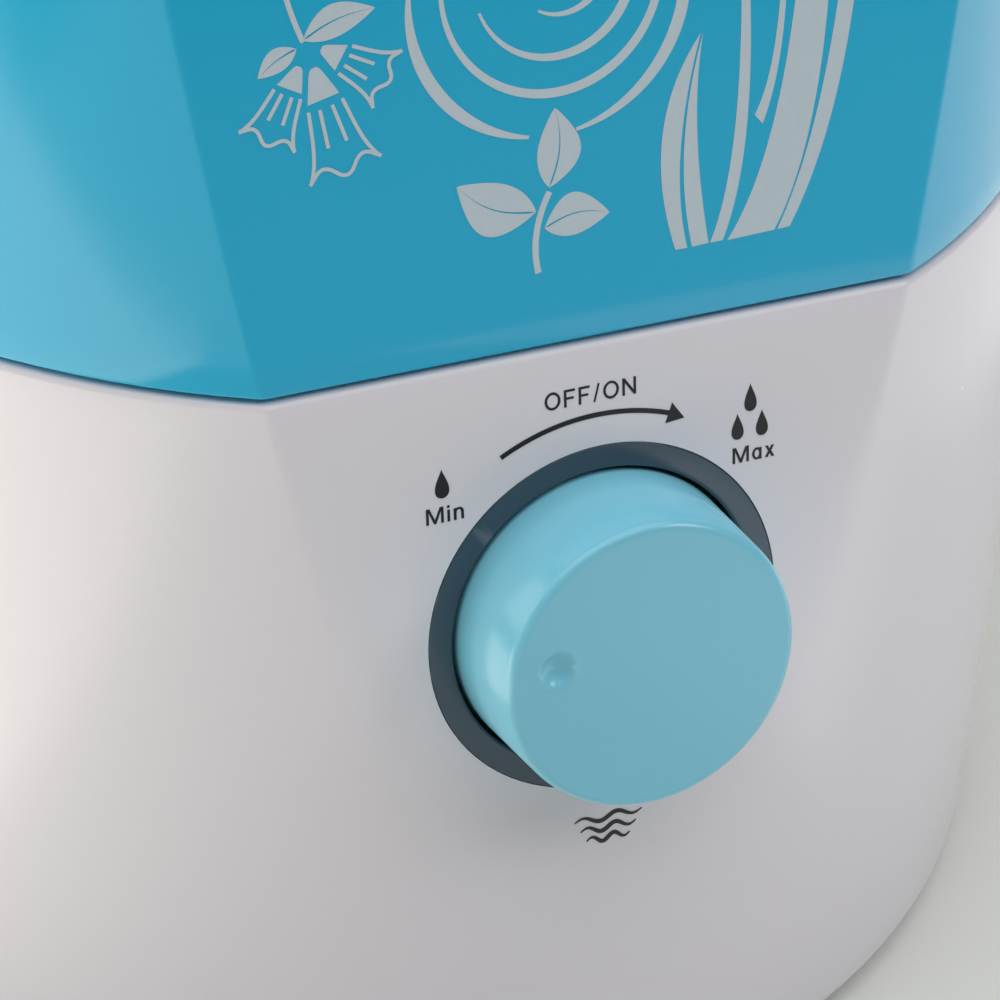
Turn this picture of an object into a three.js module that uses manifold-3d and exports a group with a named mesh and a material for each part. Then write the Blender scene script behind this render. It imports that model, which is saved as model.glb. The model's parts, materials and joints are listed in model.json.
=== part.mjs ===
// Ultrasonic cool mist humidifier: a round white base with a flat leaning front that carries the mist
// dial, and a tapered blue water tank that lifts off it. Millimetres, +Z up, the front faces -Y, and the
// origin is on the table under the axis of the body.
import * as THREE from "three";
import { mergeVertices } from "three/addons/utils/BufferGeometryUtils.js";
import Module from "manifold-3d";

const wasm = await Module();
wasm.setup();

// ---------------------------------------------------------------- driving dimensions
const gap = 0.3; // between pieces that touch
const segments = { large: 44, dial: 32, medium: 18, small: 10, tiny: 8 };

// Body outline
const footHeight = 2;
const baseHeight = 116.4; // table to the parting line
const baseRadius = 95.1; // at the bottom
const baseDraw = { middle: 0.5, top: 3.7 }; // how much narrower the base is at half height and at its top
const baseWall = 2.5;
const baseEdge = { bottom: 4, top: 2 }; // radii of the rounded edges
const partingGap = 0.7;
const tankHeight = 170; // parting line to the tank's flat top
const tankTaper = 0.085; // radius lost for each millimetre of height
const tankWall = 2.2;
const tankShoulder = 20;

// Flat front, one plane across the base and the tank
const facetLean = THREE.MathUtils.degToRad(10.85);
const facetInset = 6.3; // at the height of the dial, inside the bottom radius of the base
const dialBelowRim = 34.8;

// Dial, measured along the facet's normal
const knobRadius = 18.85; // at its root
const knobDraft = 0.65; // how much narrower its face is
const knobProud = 13.8;
const knobSkirt = 2;
const knobWall = 2;
const knobEdge = 1.2;
const knobGap = 0.5;
const ringWidth = 2.85;
const ringDepth = 3;
const ringSleeve = 1.5;
const boardThickness = 1.6;
const wellDepth = 9.2;
const pointer = { angle: THREE.MathUtils.degToRad(168), inset: 5.8, radius: 2.2, depth: 0.9 };
const shaftRadius = 3;
const hubRadius = 5.5;
const bushingRadius = 4.5;
const potRadius = 8.5;
const potDepth = 12;
const nutThickness = 2.5;

// Water basin in the deck
const deckThickness = 2.5;
const deckBelowRim = 1.9; // the deck's upper face, below the parting line
const ledgeReach = 3;
const basin = { x: 0, y: 8, radius: 62, depth: 38.5 };
const sealThickness = 1;
const transducerRadius = 10;
const transducerSealWall = 2;
const clampReach = 7.5; // from the seal out to the clamp's screws
const tower = { x: 42, y: 6, radius: 14 };
const towerWall = 2;
const towerBelowRim = 4.4;
const floatPlace = { x: 14, y: 44 };
const floatRadius = 10;
const floatHeight = 12;
const floatPostRadius = 3;
const floatRise = 8;
const valvePostRadius = 3.5;

// Tank fittings
const tankFloorRise = 4.6; // parting line to the underside of the tank's floor
const footRing = { margin: 4, wall: 3 }; // stands on the deck, outside the basin
const mistTube = { radius: 13, wall: 1.8 };
const neck = { radius: 19, wall: 2, length: 13 };
const capWall = 2.5;
const capDrop = 4; // neck end to the outside of the cap's floor
const valveStemRadius = 2;
const valveHeadRadius = 7.5;
const valveHole = 6;
const valveReach = 7; // stem below the cap
const valveTravel = 4;
const guideReach = 5.5; // from the valve's head out to the guide's legs
const springCoil = { radius: 4.6, wire: 0.55, turns: 4 };
const dishRadius = 34;
const dishDepth = 6;
const nozzleHeight = 19;
const spoutRadius = 24;
const spoutWall = 2;
const mouth = { radius: 6.5, height: 8, reach: 24, lean: THREE.MathUtils.degToRad(50) };

// Under the deck
const floorThickness = 2.5;
const rimThickness = 5.6;
const bossCircleInset = 9.6; // boss centres, inside the bottom radius of the base
const bossRadius = 4.5;
const bossHeight = 20;
const screwRadius = 1.6;
const headPocket = 1.3; // depth of the recess for a foot or a screw head
const footRadius = 7;
const footCircle = 70;
const fanSize = 60;
const fanThickness = 15;
const fanFrame = 1.5; // the frame's thickness where its bore comes nearest to its side
const fanHub = 11.5;
const bladeGap = 2;
const fanStandoff = 3.2;
const boardStandoff = 9.2;
const driverBoard = { x: -42, y: -24, width: 60, depth: 42 };
const powerBoard = { x: -40, y: 29, width: 52, depth: 46 };
const glandHeight = 20;
const glandRadius = 6;
const glandProud = 8;
const leadRadius = 1.2;

// ---------------------------------------------------------------- materials
const plastic = (color, roughness) => new THREE.MeshStandardMaterial({ color, roughness, metalness: 0 });
const metal = (color, roughness) => new THREE.MeshStandardMaterial({ color, roughness, metalness: 1 });
const white = plastic(0xcdcbd0, 0.25);
const blue = plastic(0x2d96b9, 0.2);
const paleBlue = plastic(0x86c4d2, 0.25);
const smoked = plastic(0x4b555f, 0.2);
const grey = plastic(0x9aa0a4, 0.5);
const rubber = plastic(0x35383b, 0.85);
const clear = plastic(0xdfe8ea, 0.2);
const board = plastic(0x2f6b45, 0.5);
const steel = metal(0xb4b7ba, 0.35);
const brass = metal(0xb59a5a, 0.35);
const aluminium = metal(0xc4c7c9, 0.45);

// ---------------------------------------------------------------- solid tools
// A closed geometry as a manifold-3d solid, with its faces turned outwards.
function solid(geometry) {
  const plain = geometry.clone();
  plain.deleteAttribute("normal");
  plain.deleteAttribute("uv");
  const merged = mergeVertices(plain, 1e-4);
  const source = merged.index.array;
  const corners = [];
  for (let i = 0; i < source.length; i += 3) {
    const [a, b, c] = [source[i], source[i + 1], source[i + 2]];
    if (a !== b && b !== c && c !== a) corners.push(a, b, c);
  }
  const vertProperties = merged.attributes.position.array;
  const make = (list) => {
    const mesh = new wasm.Mesh({ numProp: 3, vertProperties, triVerts: new Uint32Array(list) });
    return new wasm.Manifold(mesh);
  };
  const made = make(corners);
  return made.volume() < 0 ? make(corners.reverse()) : made;
}

const join = (first, ...others) => others.reduce((sum, next) => sum.add(next), first);
const cut = (first, ...others) => others.reduce((rest, next) => rest.subtract(next), first);

function geometryOf(body) {
  const mesh = body.getMesh();
  const geometry = new THREE.BufferGeometry();
  geometry.setAttribute("position", new THREE.BufferAttribute(mesh.vertProperties, 3));
  geometry.setIndex(new THREE.BufferAttribute(mesh.triVerts, 1));
  geometry.computeVertexNormals();
  return geometry;
}

function piece(parent, name, body, material) {
  const mesh = new THREE.Mesh(geometryOf(body), material);
  mesh.name = name;
  parent.add(mesh);
  return mesh;
}

// A profile of [radius, height] points turned about the upright through (x, y).
function turned(profile, count, x = 0, y = 0) {
  const points = profile.map(([radius, height]) => new THREE.Vector2(radius, height));
  const geometry = new THREE.LatheGeometry(points, count);
  geometry.rotateX(Math.PI / 2);
  geometry.translate(x, y, 0);
  return solid(geometry);
}

// A plain disc or rod between two heights, and a ring with a hole through it.
function rod(radius, low, high, count = segments.medium, x = 0, y = 0) {
  return turned([[0, low], [radius, low], [radius, high], [0, high]], count, x, y);
}

function ring(inner, outer, low, high, count = segments.medium, x = 0, y = 0) {
  return turned([[inner, low], [outer, low], [outer, high], [inner, high], [inner, low]], count, x, y);
}

function block(width, depth, low, high, x = 0, y = 0, turn = 0) {
  const geometry = new THREE.BoxGeometry(width, depth, high - low);
  geometry.rotateZ(turn);
  geometry.translate(x, y, (low + high) / 2);
  return solid(geometry);
}

// A round tube along a smooth curve through hand-placed points.
function tubeAlong(curve, radius, steps, sides) {
  const section = new THREE.Shape();
  for (let i = 0; i < sides; i++) {
    const angle = (2 * Math.PI * i) / sides;
    const x = radius * Math.cos(angle);
    const y = radius * Math.sin(angle);
    if (i === 0) section.moveTo(x, y);
    else section.lineTo(x, y);
  }
  const geometry = new THREE.ExtrudeGeometry(section, { steps, extrudePath: curve });
  return solid(geometry);
}

const polar = (radius, angle) => ({ x: radius * Math.cos(angle), y: radius * Math.sin(angle) });
const quarterTurn = Math.PI / 2;

// ---------------------------------------------------------------- sizes that follow
const dialHeight = baseHeight - dialBelowRim;
const facetDistance = baseRadius - facetInset;
const ringRadius = knobRadius + knobGap + ringWidth;
const wellRadius = ringRadius + gap;
const baseTopRadius = baseRadius - baseDraw.top;
const transducerSealRadius = transducerRadius + transducerSealWall;
const clampScrewCircle = transducerSealRadius + clampReach;
const fanBore = fanSize / 2 - fanFrame;
const intakeRadius = fanBore - 3.5; // slots in the cover under the fan
const footRingInner = basin.y + basin.radius + footRing.margin;
// The filler neck hangs midway between the mist tube and the basin's wall.
const neckPlace = { x: -(mistTube.radius + basin.radius) / 2, y: basin.y };
const tankBottom = baseHeight + partingGap;
const tankTop = baseHeight + tankHeight;
const deckTop = baseHeight - deckBelowRim;
const deckUnder = deckTop - deckThickness;
const basinFloor = deckTop - basin.depth;
const basinUnder = basinFloor - deckThickness;
const tankFloorUnder = baseHeight + tankFloorRise;
const coverTop = footHeight + floorThickness;

// ---------------------------------------------------------------- body outline
// Radius of the base at a height: a gentle curve through its three named radii.
function baseRadiusAt(z) {
  const t = (z - footHeight) / (baseHeight - footHeight);
  const middle = 4 * t * (1 - t) * baseDraw.middle;
  const top = 2 * t * (t - 0.5) * baseDraw.top;
  return baseRadius - middle - top;
}

const tankRadiusAt = (z) => baseTopRadius - tankTaper * (z - baseHeight);

// How far a rounded edge of this radius pulls in at a distance from its end face.
function edgePull(distance, radius) {
  if (distance >= radius) return 0;
  return radius - Math.sqrt(radius * radius - (radius - distance) ** 2);
}

// Heights to sample between two end faces, close together in the rounded edges.
function heightsBetween(low, high, lowEdge, highEdge, steps) {
  const arc = [0, 0.5, 1].map((share) => 1 - Math.cos(share * quarterTurn));
  const lower = lowEdge > 0 ? arc.map((share) => low + lowEdge * share) : [low];
  const upper = highEdge > 0 ? arc.map((share) => high - highEdge * share).reverse() : [high];
  const first = lower[lower.length - 1];
  const last = upper[0];
  const between = [];
  for (let i = 1; i < steps; i++) between.push(first + ((last - first) * i) / steps);
  return [...lower, ...between, ...upper];
}

// Everything in front of the facet plane, moved into the body by an inset.
function frontOf(inset) {
  const size = 600;
  const geometry = new THREE.BoxGeometry(size, size, size);
  geometry.translate(0, 0, size / 2 - inset);
  geometry.applyMatrix4(dialMatrix);
  return solid(geometry);
}

// The body's outline between two heights, shrunk all round by an inset.
function outline(radiusAt, low, high, inset, { lowEdge = 0, highEdge = 0, steps = 1 } = {}) {
  const heights = heightsBetween(low, high, lowEdge, highEdge, steps);
  const side = heights.map((z) => {
    const pull = edgePull(z - low, lowEdge) + edgePull(high - z, highEdge);
    return [radiusAt(z) - inset - pull, z];
  });
  const body = turned([[0, low], ...side, [0, high]], segments.large);
  return cut(body, frontOf(inset));
}

// ---------------------------------------------------------------- scene graph
const humidifier = new THREE.Group();
const dial = new THREE.Group(); // local +Z is the facet's outward normal, +Y runs up the facet
dial.position.set(0, -facetDistance, dialHeight);
dial.rotation.x = quarterTurn - facetLean;
humidifier.add(dial);
dial.updateMatrixWorld(true);
const dialMatrix = dial.matrixWorld.clone();

const inDial = (body) => {
  const geometry = geometryOf(body);
  geometry.applyMatrix4(dialMatrix);
  return solid(geometry);
};
const dialPoint = (x, up, depth) => new THREE.Vector3(x, up, -depth).applyMatrix4(dialMatrix);

// ---------------------------------------------------------------- base housing
const diagonals = [1, 3, 5, 7].map((eighth) => (eighth * Math.PI) / 4);
const bossCircle = baseRadius - bossCircleInset;
const rimRise = 3; // the thick rim round the bottom cover stands this much above it

function baseShell() {
  const outer = outline(baseRadiusAt, footHeight, baseHeight, 0, {
    lowEdge: baseEdge.bottom,
    highEdge: baseEdge.top,
    steps: 3,
  });
  const rimTop = coverTop + rimRise;
  const hollow = outline(baseRadiusAt, rimTop, baseHeight + 1, baseWall, { steps: 2 });
  const coverWay = rod(baseRadius - rimThickness, footHeight - 1, rimTop + 1, segments.large);
  const ledgeTop = deckUnder - 2 * gap - sealThickness;
  const ledge = cut(
    outline(baseRadiusAt, ledgeTop - ledgeReach, ledgeTop, baseWall - 0.5),
    outline(baseRadiusAt, ledgeTop - ledgeReach - 1, ledgeTop + 1, baseWall + ledgeReach),
  );
  const bosses = diagonals.map((angle) => {
    const { x, y } = polar(bossCircle, angle);
    const web = polar(bossCircle + bossRadius, angle);
    const top = coverTop + gap + bossHeight;
    return cut(
      join(
        rod(bossRadius, coverTop + gap, top, segments.small, x, y),
        block(bossRadius * 2, 3, coverTop + gap, top, web.x, web.y, angle),
      ),
      rod(screwRadius + gap, coverTop, top - 4, segments.small, x, y),
    );
  });
  const well = cut(
    rod(wellRadius + baseWall, -wellDepth - baseWall, -0.5, segments.dial),
    rod(wellRadius, -wellDepth, 1, segments.dial),
  );
  const shell = join(cut(outer, hollow, coverWay), ledge, ...bosses);
  const glandHole = new THREE.CylinderGeometry(glandRadius + gap, glandRadius + gap, 30, segments.medium);
  glandHole.translate(0, baseRadius, glandHeight);
  const facetHole = inDial(rod(wellRadius, -baseWall - 1, 2, segments.dial));
  const bushingHole = inDial(rod(bushingRadius + gap, -wellDepth - baseWall - 1, 0));
  const pierced = cut(shell, facetHole, solid(glandHole));
  return cut(join(pierced, inDial(well)), bushingHole);
}

function deckSeal() {
  const low = deckUnder - gap - sealThickness;
  return cut(
    outline(baseRadiusAt, low, low + sealThickness, baseWall + gap),
    outline(baseRadiusAt, low - 1, low + sealThickness + 1, baseWall + ledgeReach - gap),
  );
}

const clampAngles = [0.5, 7 / 6, 11 / 6].map((share) => share * Math.PI);

function reservoirDeck() {
  const plate = outline(baseRadiusAt, deckUnder, deckTop, baseWall + gap);
  const { x, y, radius } = basin;
  const bowl = rod(radius + deckThickness, basinUnder, deckTop - 1, segments.large, x, y);
  const water = rod(radius, basinFloor, deckTop + 1, segments.large, x, y);
  const towerTop = baseHeight - towerBelowRim;
  const { x: towerX, y: towerY } = tower;
  const towerBody = rod(tower.radius, basinUnder, towerTop, segments.medium, towerX, towerY);
  const boreRadius = tower.radius - towerWall;
  const towerBore = rod(boreRadius, basinUnder - 1, towerTop + 1, segments.medium, towerX, towerY);
  const { x: neckX, y: neckY } = neckPlace;
  const valvePost = rod(valvePostRadius, basinUnder, valveStemBottom - gap, segments.small, neckX, neckY);
  const postTop = basinFloor + gap + floatHeight + floatRise + 4;
  const floatPost = rod(floatPostRadius, basinUnder, postTop, segments.small, floatPlace.x, floatPlace.y);
  const seat = rod(transducerSealRadius + gap, basinUnder - 1, basinFloor + 1);
  const bosses = clampAngles.map((angle) => {
    const at = polar(clampScrewCircle, angle);
    return rod(3, clampTop + gap, basinUnder + 0.5, segments.small, at.x, at.y);
  });
  const pilots = clampAngles.map((angle) => {
    const at = polar(clampScrewCircle, angle);
    return rod(screwRadius, basinUnder - 3, basinUnder + 1, segments.small, at.x, at.y);
  });
  const trough = cut(join(plate, bowl), water);
  return cut(join(trough, towerBody, valvePost, floatPost, ...bosses), towerBore, seat, ...pilots);
}

// Boards and their four corner posts share these places; the first two corners take screws.
const signs = [[-1, -1], [1, 1], [-1, 1], [1, -1]];

function boardCorners({ x, y, width, depth }) {
  const inset = 4;
  const halfWidth = width / 2 - inset;
  const halfDepth = depth / 2 - inset;
  return signs.map(([sx, sy]) => ({ x: x + sx * halfWidth, y: y + sy * halfDepth }));
}

function fanCorners() {
  const reach = fanSize / 2 - 5;
  return signs.map(([sx, sy]) => ({ x: tower.x + sx * reach, y: tower.y + sy * reach }));
}

function bottomCover() {
  const radius = baseRadius - rimThickness - gap;
  const plate = rod(radius, footHeight, coverTop, segments.large);
  const posts = [];
  const pilots = [];
  for (const { x, y } of [...boardCorners(driverBoard), ...boardCorners(powerBoard)]) {
    posts.push(rod(3.2, footHeight, coverTop + boardStandoff, segments.tiny, x, y));
    pilots.push(rod(screwRadius, coverTop + 1, coverTop + boardStandoff + 1, segments.tiny, x, y));
  }
  for (const { x, y } of fanCorners()) {
    posts.push(rod(3.2, footHeight, coverTop + fanStandoff, segments.tiny, x, y));
    pilots.push(rod(screwRadius, coverTop - 1, coverTop + fanStandoff + 1, segments.tiny, x, y));
  }
  const slots = [];
  const pitch = intakeRadius / 3.85;
  for (let i = -3; i <= 3; i++) {
    const half = Math.sqrt(intakeRadius ** 2 - (i * pitch) ** 2);
    slots.push(block(2 * half, 3.4, footHeight - 1, coverTop + 1, tower.x, tower.y + i * pitch));
  }
  const pockets = diagonals.map((angle) => {
    const { x, y } = polar(footCircle, angle);
    return rod(footRadius + gap, footHeight - 1, footHeight + headPocket, segments.medium, x, y);
  });
  const holes = diagonals.map((angle) => {
    const { x, y } = polar(bossCircle, angle);
    const way = rod(screwRadius + gap, footHeight - 1, coverTop + 1, segments.small, x, y);
    return join(way, rod(3.4, footHeight - 1, footHeight + headPocket, segments.medium, x, y));
  });
  return cut(join(plate, ...posts), ...slots, ...pockets, ...holes, ...pilots);
}

// A pan-head screw with its head's underside at height 0 and its shank above it.
function screwUp(length, headRadius = 3, headHeight = 1.6) {
  const tip = 1.5;
  const profile = [
    [0, -headHeight],
    [headRadius * 0.75, -headHeight],
    [headRadius, -headHeight * 0.4],
    [headRadius, 0],
    [screwRadius - gap, 0],
    [screwRadius - gap, length - tip],
    [0, length],
  ];
  const slot = block(headRadius * 1.3, 0.8, -headHeight - 1, -headHeight + 0.7);
  return cut(turned(profile, segments.small), slot);
}

// ---------------------------------------------------------------- dial pieces, in the dial's own frame
function dialRing() {
  const inner = knobRadius + knobGap;
  const sleeveInner = ringRadius - ringSleeve;
  const sleeveEnd = -wellDepth + boardThickness + 2 * gap;
  return turned(
    [
      [inner, 0],
      [inner, -ringDepth],
      [sleeveInner, -ringDepth],
      [sleeveInner, sleeveEnd],
      [ringRadius, sleeveEnd],
      [ringRadius, 0],
      [inner, 0],
    ],
    segments.dial,
  );
}

function dialLightBoard() {
  const low = -wellDepth + gap;
  const high = low + boardThickness;
  const plate = ring(nutCorner + 1, ringRadius - gap, low, high, segments.medium);
  const lights = [];
  for (let i = 0; i < 6; i++) {
    const angle = (i * Math.PI) / 3;
    const { x, y } = polar(ringRadius - 6, angle);
    lights.push(block(3, 2.4, high - 0.1, high + 0.8, x, y, angle));
  }
  return join(plate, ...lights);
}

const nutCorner = bushingRadius + 2.5;
const shaftFlat = shaftRadius * 0.65;
const hubEnd = -wellDepth + nutThickness + 2;

function flattedRod(radius, flat, low, high) {
  const side = block(radius, radius * 3, low - 1, high + 1, flat + radius / 2, 0);
  return cut(rod(radius, low, high, segments.small), side);
}

function knob() {
  const draft = knobDraft / (knobProud + knobSkirt);
  const sideAt = (z) => knobRadius - draft * (z + knobSkirt);
  const arc = [0, 1 / 3, 2 / 3, 1].map((share) => {
    const angle = share * quarterTurn;
    const z = knobProud - knobEdge * (1 - Math.sin(angle));
    return [sideAt(z) - knobEdge * (1 - Math.cos(angle)), z];
  });
  const inside = knobProud - knobWall;
  const cup = turned(
    [
      [sideAt(-knobSkirt) - knobWall, -knobSkirt],
      [sideAt(-knobSkirt), -knobSkirt],
      ...arc,
      [0, knobProud],
      [0, inside],
      [sideAt(inside) - knobWall, inside],
      [sideAt(-knobSkirt) - knobWall, -knobSkirt],
    ],
    segments.dial,
  );
  const hub = rod(hubRadius, hubEnd, inside + 0.5, segments.medium);
  const bore = flattedRod(shaftRadius + gap, shaftFlat + gap, hubEnd - 1, knobProud - 4);
  const { x, y } = polar(knobRadius - knobDraft - pointer.inset, pointer.angle);
  const ball = (pointer.radius ** 2 + pointer.depth ** 2) / (2 * pointer.depth);
  const dimple = new THREE.SphereGeometry(ball, segments.medium, segments.small);
  dimple.translate(x, y, knobProud - pointer.depth + ball);
  return cut(join(cup, hub), bore, solid(dimple));
}

const potFront = -wellDepth - baseWall - gap;

function knobShaft() {
  return flattedRod(shaftRadius, shaftFlat, potFront - potDepth + 2 + gap, knobProud - 4 - gap);
}

function potentiometer() {
  const can = rod(potRadius, potFront - potDepth, potFront);
  const lugs = [-5, 0, 5].map((x) => block(1.4, 5, potFront - 4, potFront - 3.2, x, -potRadius - 1));
  const bushing = rod(bushingRadius, potFront - 0.5, -wellDepth + nutThickness + 1, segments.medium);
  const bore = rod(shaftRadius + gap, potFront - potDepth + 2, 0, segments.small);
  return cut(join(can, bushing, ...lugs), bore);
}

function potentiometerNut() {
  const low = -wellDepth + gap;
  const bore = rod(bushingRadius + gap, low - 1, low + nutThickness + 1);
  return cut(rod(nutCorner, low, low + nutThickness, 6), bore);
}

// ---------------------------------------------------------------- mist maker, float and fan
const sealFlangeTop = basinUnder - gap;
const sealFlangeUnder = sealFlangeTop - 1.8;
const clampTop = sealFlangeUnder - gap;
const clampThickness = 1.5;

function transducerSeal() {
  const top = basinFloor + 0.5;
  const inner = transducerRadius - 2;
  const disc = { low: basinFloor - 2.1, high: basinFloor - 0.7 };
  return turned(
    [
      [inner, sealFlangeUnder],
      [transducerSealRadius + 3, sealFlangeUnder],
      [transducerSealRadius + 3, sealFlangeTop],
      [transducerSealRadius, sealFlangeTop],
      [transducerSealRadius, top],
      [inner, top],
      [inner, disc.high],
      [transducerRadius + gap, disc.high],
      [transducerRadius + gap, disc.low],
      [inner, disc.low],
      [inner, sealFlangeUnder],
    ],
    segments.medium,
  );
}

const transducerDisc = () => rod(transducerRadius, basinFloor - 1.8, basinFloor - 1);

function transducerClamp() {
  const plate = ring(transducerRadius - 1, clampScrewCircle + 3, clampTop - clampThickness, clampTop);
  const holes = clampAngles.map((angle) => {
    const { x, y } = polar(clampScrewCircle, angle);
    return rod(screwRadius, clampTop - 3, clampTop + 1, segments.small, x, y);
  });
  return cut(plate, ...holes);
}

const floatLow = basinFloor + gap;
const magnetHeight = 3;
const floatWall = 2.4;
const floatEdge = 0.8;

function float() {
  const bore = floatPostRadius + 2 * gap;
  const top = floatLow + floatHeight;
  const pocketTop = floatLow + magnetHeight + 2 * gap;
  const wallAt = floatRadius - floatWall;
  return turned(
    [
      [bore, pocketTop],
      [wallAt, pocketTop],
      [wallAt, floatLow],
      [floatRadius - floatEdge, floatLow],
      [floatRadius, floatLow + floatEdge],
      [floatRadius, top - floatEdge],
      [floatRadius - floatEdge, top],
      [bore, top],
      [bore, pocketTop],
    ],
    segments.medium,
    floatPlace.x,
    floatPlace.y,
  );
}

function floatMagnet() {
  const { x, y } = floatPlace;
  const low = floatLow + gap;
  const outer = floatRadius - floatWall - gap;
  return ring(floatPostRadius + 2 * gap, outer, low, low + magnetHeight, segments.medium, x, y);
}

function floatRetainer() {
  const top = floatLow + floatHeight + floatRise + 4;
  const { x, y } = floatPlace;
  const inner = floatPostRadius + gap;
  return turned(
    [
      [0, top + gap],
      [inner, top + gap],
      [inner, top - 2.6],
      [inner + 2.4, top - 2.6],
      [inner + 2.4, top + 1],
      [inner + 1.2, top + 2],
      [0, top + 2],
    ],
    segments.medium,
    x,
    y,
  );
}

function levelSwitch() {
  const top = basinUnder - gap;
  const { x, y } = floatPlace;
  const card = block(18, 8, top - 1.6, top, x, y);
  const reed = new THREE.CylinderGeometry(1.3, 1.3, 13, segments.tiny);
  reed.rotateZ(quarterTurn);
  reed.translate(x, y, top - 2.4);
  return join(card, solid(reed));
}

const fanLow = coverTop + fanStandoff + gap;
const fanHigh = fanLow + fanThickness;

function fanHousing() {
  const { x, y } = tower;
  const frame = block(fanSize, fanSize, fanLow, fanHigh, x, y);
  const bore = rod(fanBore, fanLow - 1, fanHigh + 1, segments.medium, x, y);
  const arms = [0, 1, 2].map((i) => {
    const angle = quarterTurn + (i * 2 * Math.PI) / 3;
    const at = polar(fanBore / 2 + 3, angle);
    return block(fanBore, 3, fanLow, fanLow + 1.6, x + at.x, y + at.y, angle);
  });
  const motor = rod(fanHub - 0.5, fanLow, fanLow + 1.6, segments.medium, x, y);
  const hole = (at) => rod(screwRadius + gap, fanLow - 1, fanHigh + 1, segments.small, at.x, at.y);
  return cut(join(cut(frame, bore), motor, ...arms), ...fanCorners().map(hole));
}

function fanRotor() {
  const { x, y } = tower;
  const low = fanLow + 1.6 + 0.5;
  const high = fanHigh - 1.5;
  const blades = [];
  const count = 7;
  const root = fanHub - 2;
  const tip = fanBore - bladeGap;
  for (let i = 0; i < count; i++) {
    const blade = new THREE.BoxGeometry(tip - root, 1.3, 13);
    blade.rotateX(THREE.MathUtils.degToRad(42));
    blade.translate((root + tip) / 2, 0, (low + high) / 2);
    blade.rotateZ((i * 2 * Math.PI) / count);
    blade.translate(x, y, 0);
    blades.push(solid(blade));
  }
  return join(rod(fanHub, low, high, segments.medium, x, y), ...blades);
}

function airDuct() {
  const { x, y, radius } = tower;
  const low = fanHigh + gap;
  const high = basinUnder - gap;
  const wide = fanBore + 0.5;
  const thin = 1.6;
  const straight = 6;
  return turned(
    [
      [wide - thin, low],
      [wide, low],
      [wide, low + straight],
      [radius, high - straight],
      [radius, high],
      [radius - thin, high],
      [radius - thin, high - straight],
      [wide - thin, low + straight],
      [wide - thin, low],
    ],
    segments.medium,
    x,
    y,
  );
}

// ---------------------------------------------------------------- electronics
const boardLow = coverTop + boardStandoff + gap;
const boardHigh = boardLow + boardThickness;

function circuitBoard(place, parts) {
  const plate = block(place.width, place.depth, boardLow, boardHigh, place.x, place.y);
  const hole = ({ x, y }) => rod(screwRadius + gap, boardLow - 1, boardHigh + 1, segments.tiny, x, y);
  const holes = boardCorners(place).slice(0, 2).map(hole);
  const bodies = parts.map(([width, depth, height, x, y]) =>
    block(width, depth, boardHigh - 0.2, boardHigh + height, place.x + x, place.y + y),
  );
  return cut(join(plate, ...bodies), ...holes);
}

function heatSink() {
  const x = driverBoard.x - 12;
  const y = driverBoard.y;
  const low = boardHigh + gap;
  const fins = [-2, -1, 0, 1, 2].map((i) => block(1.6, 20, low + 2, low + 18, x + i * 5, y));
  return join(block(24, 20, low, low + 3, x, y), ...fins);
}

function transformer() {
  const x = powerBoard.x - 6;
  const y = powerBoard.y - 2;
  const low = boardHigh + gap;
  return join(block(28, 24, low, low + 22, x, y), block(18, 32, low + 3, low + 19, x, y));
}

// ---------------------------------------------------------------- cord gland in the rear wall
// Turned about +Y, with its flange against the outside of the wall.
function turnedBack(profile, count) {
  const points = profile.map(([radius, y]) => new THREE.Vector2(radius, y));
  const geometry = new THREE.LatheGeometry(points, count);
  geometry.translate(0, 0, glandHeight);
  return solid(geometry);
}

function cordGland() {
  const wallOutside = baseRadiusAt(glandHeight) + gap;
  const bore = 3.6;
  const end = wallOutside + glandProud;
  const insideEnd = wallOutside - gap - baseWall - 6;
  return turnedBack(
    [
      [bore, insideEnd],
      [glandRadius, insideEnd],
      [glandRadius, wallOutside],
      [glandRadius + 2.6, wallOutside],
      [glandRadius + 2.6, wallOutside + 2.5],
      [glandRadius + 1, end - 1.5],
      [glandRadius - 0.6, end],
      [bore, end],
      [bore, insideEnd],
    ],
    segments.medium,
  );
}

function glandNut() {
  const face = baseRadiusAt(glandHeight) - baseWall - gap - 0.6;
  const profile = (radius) => [[0, face - 4], [radius, face - 4], [radius, face], [0, face]];
  const bore = [[0, face - 5], [glandRadius + gap, face - 5], [glandRadius + gap, face + 1], [0, face + 1]];
  return cut(turnedBack(profile(glandRadius + 3), 6), turnedBack(bore, segments.medium));
}

// ---------------------------------------------------------------- tank
const dishFloor = tankTop - dishDepth;

function tankShell() {
  const outer = outline(tankRadiusAt, tankBottom, tankTop, 0, { highEdge: tankShoulder });
  const hollow = outline(tankRadiusAt, tankBottom - 1, tankTop - tankWall, tankWall, {
    highEdge: tankShoulder - tankWall,
  });
  const underDish = rod(dishRadius + tankWall, dishFloor - tankWall, tankTop, segments.large);
  const dish = rod(dishRadius, dishFloor, tankTop + 1, segments.large);
  const hole = rod(mistTube.radius + gap, dishFloor - tankWall - 1, tankTop + 1);
  return cut(outer, cut(hollow, underDish), dish, hole);
}

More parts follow.
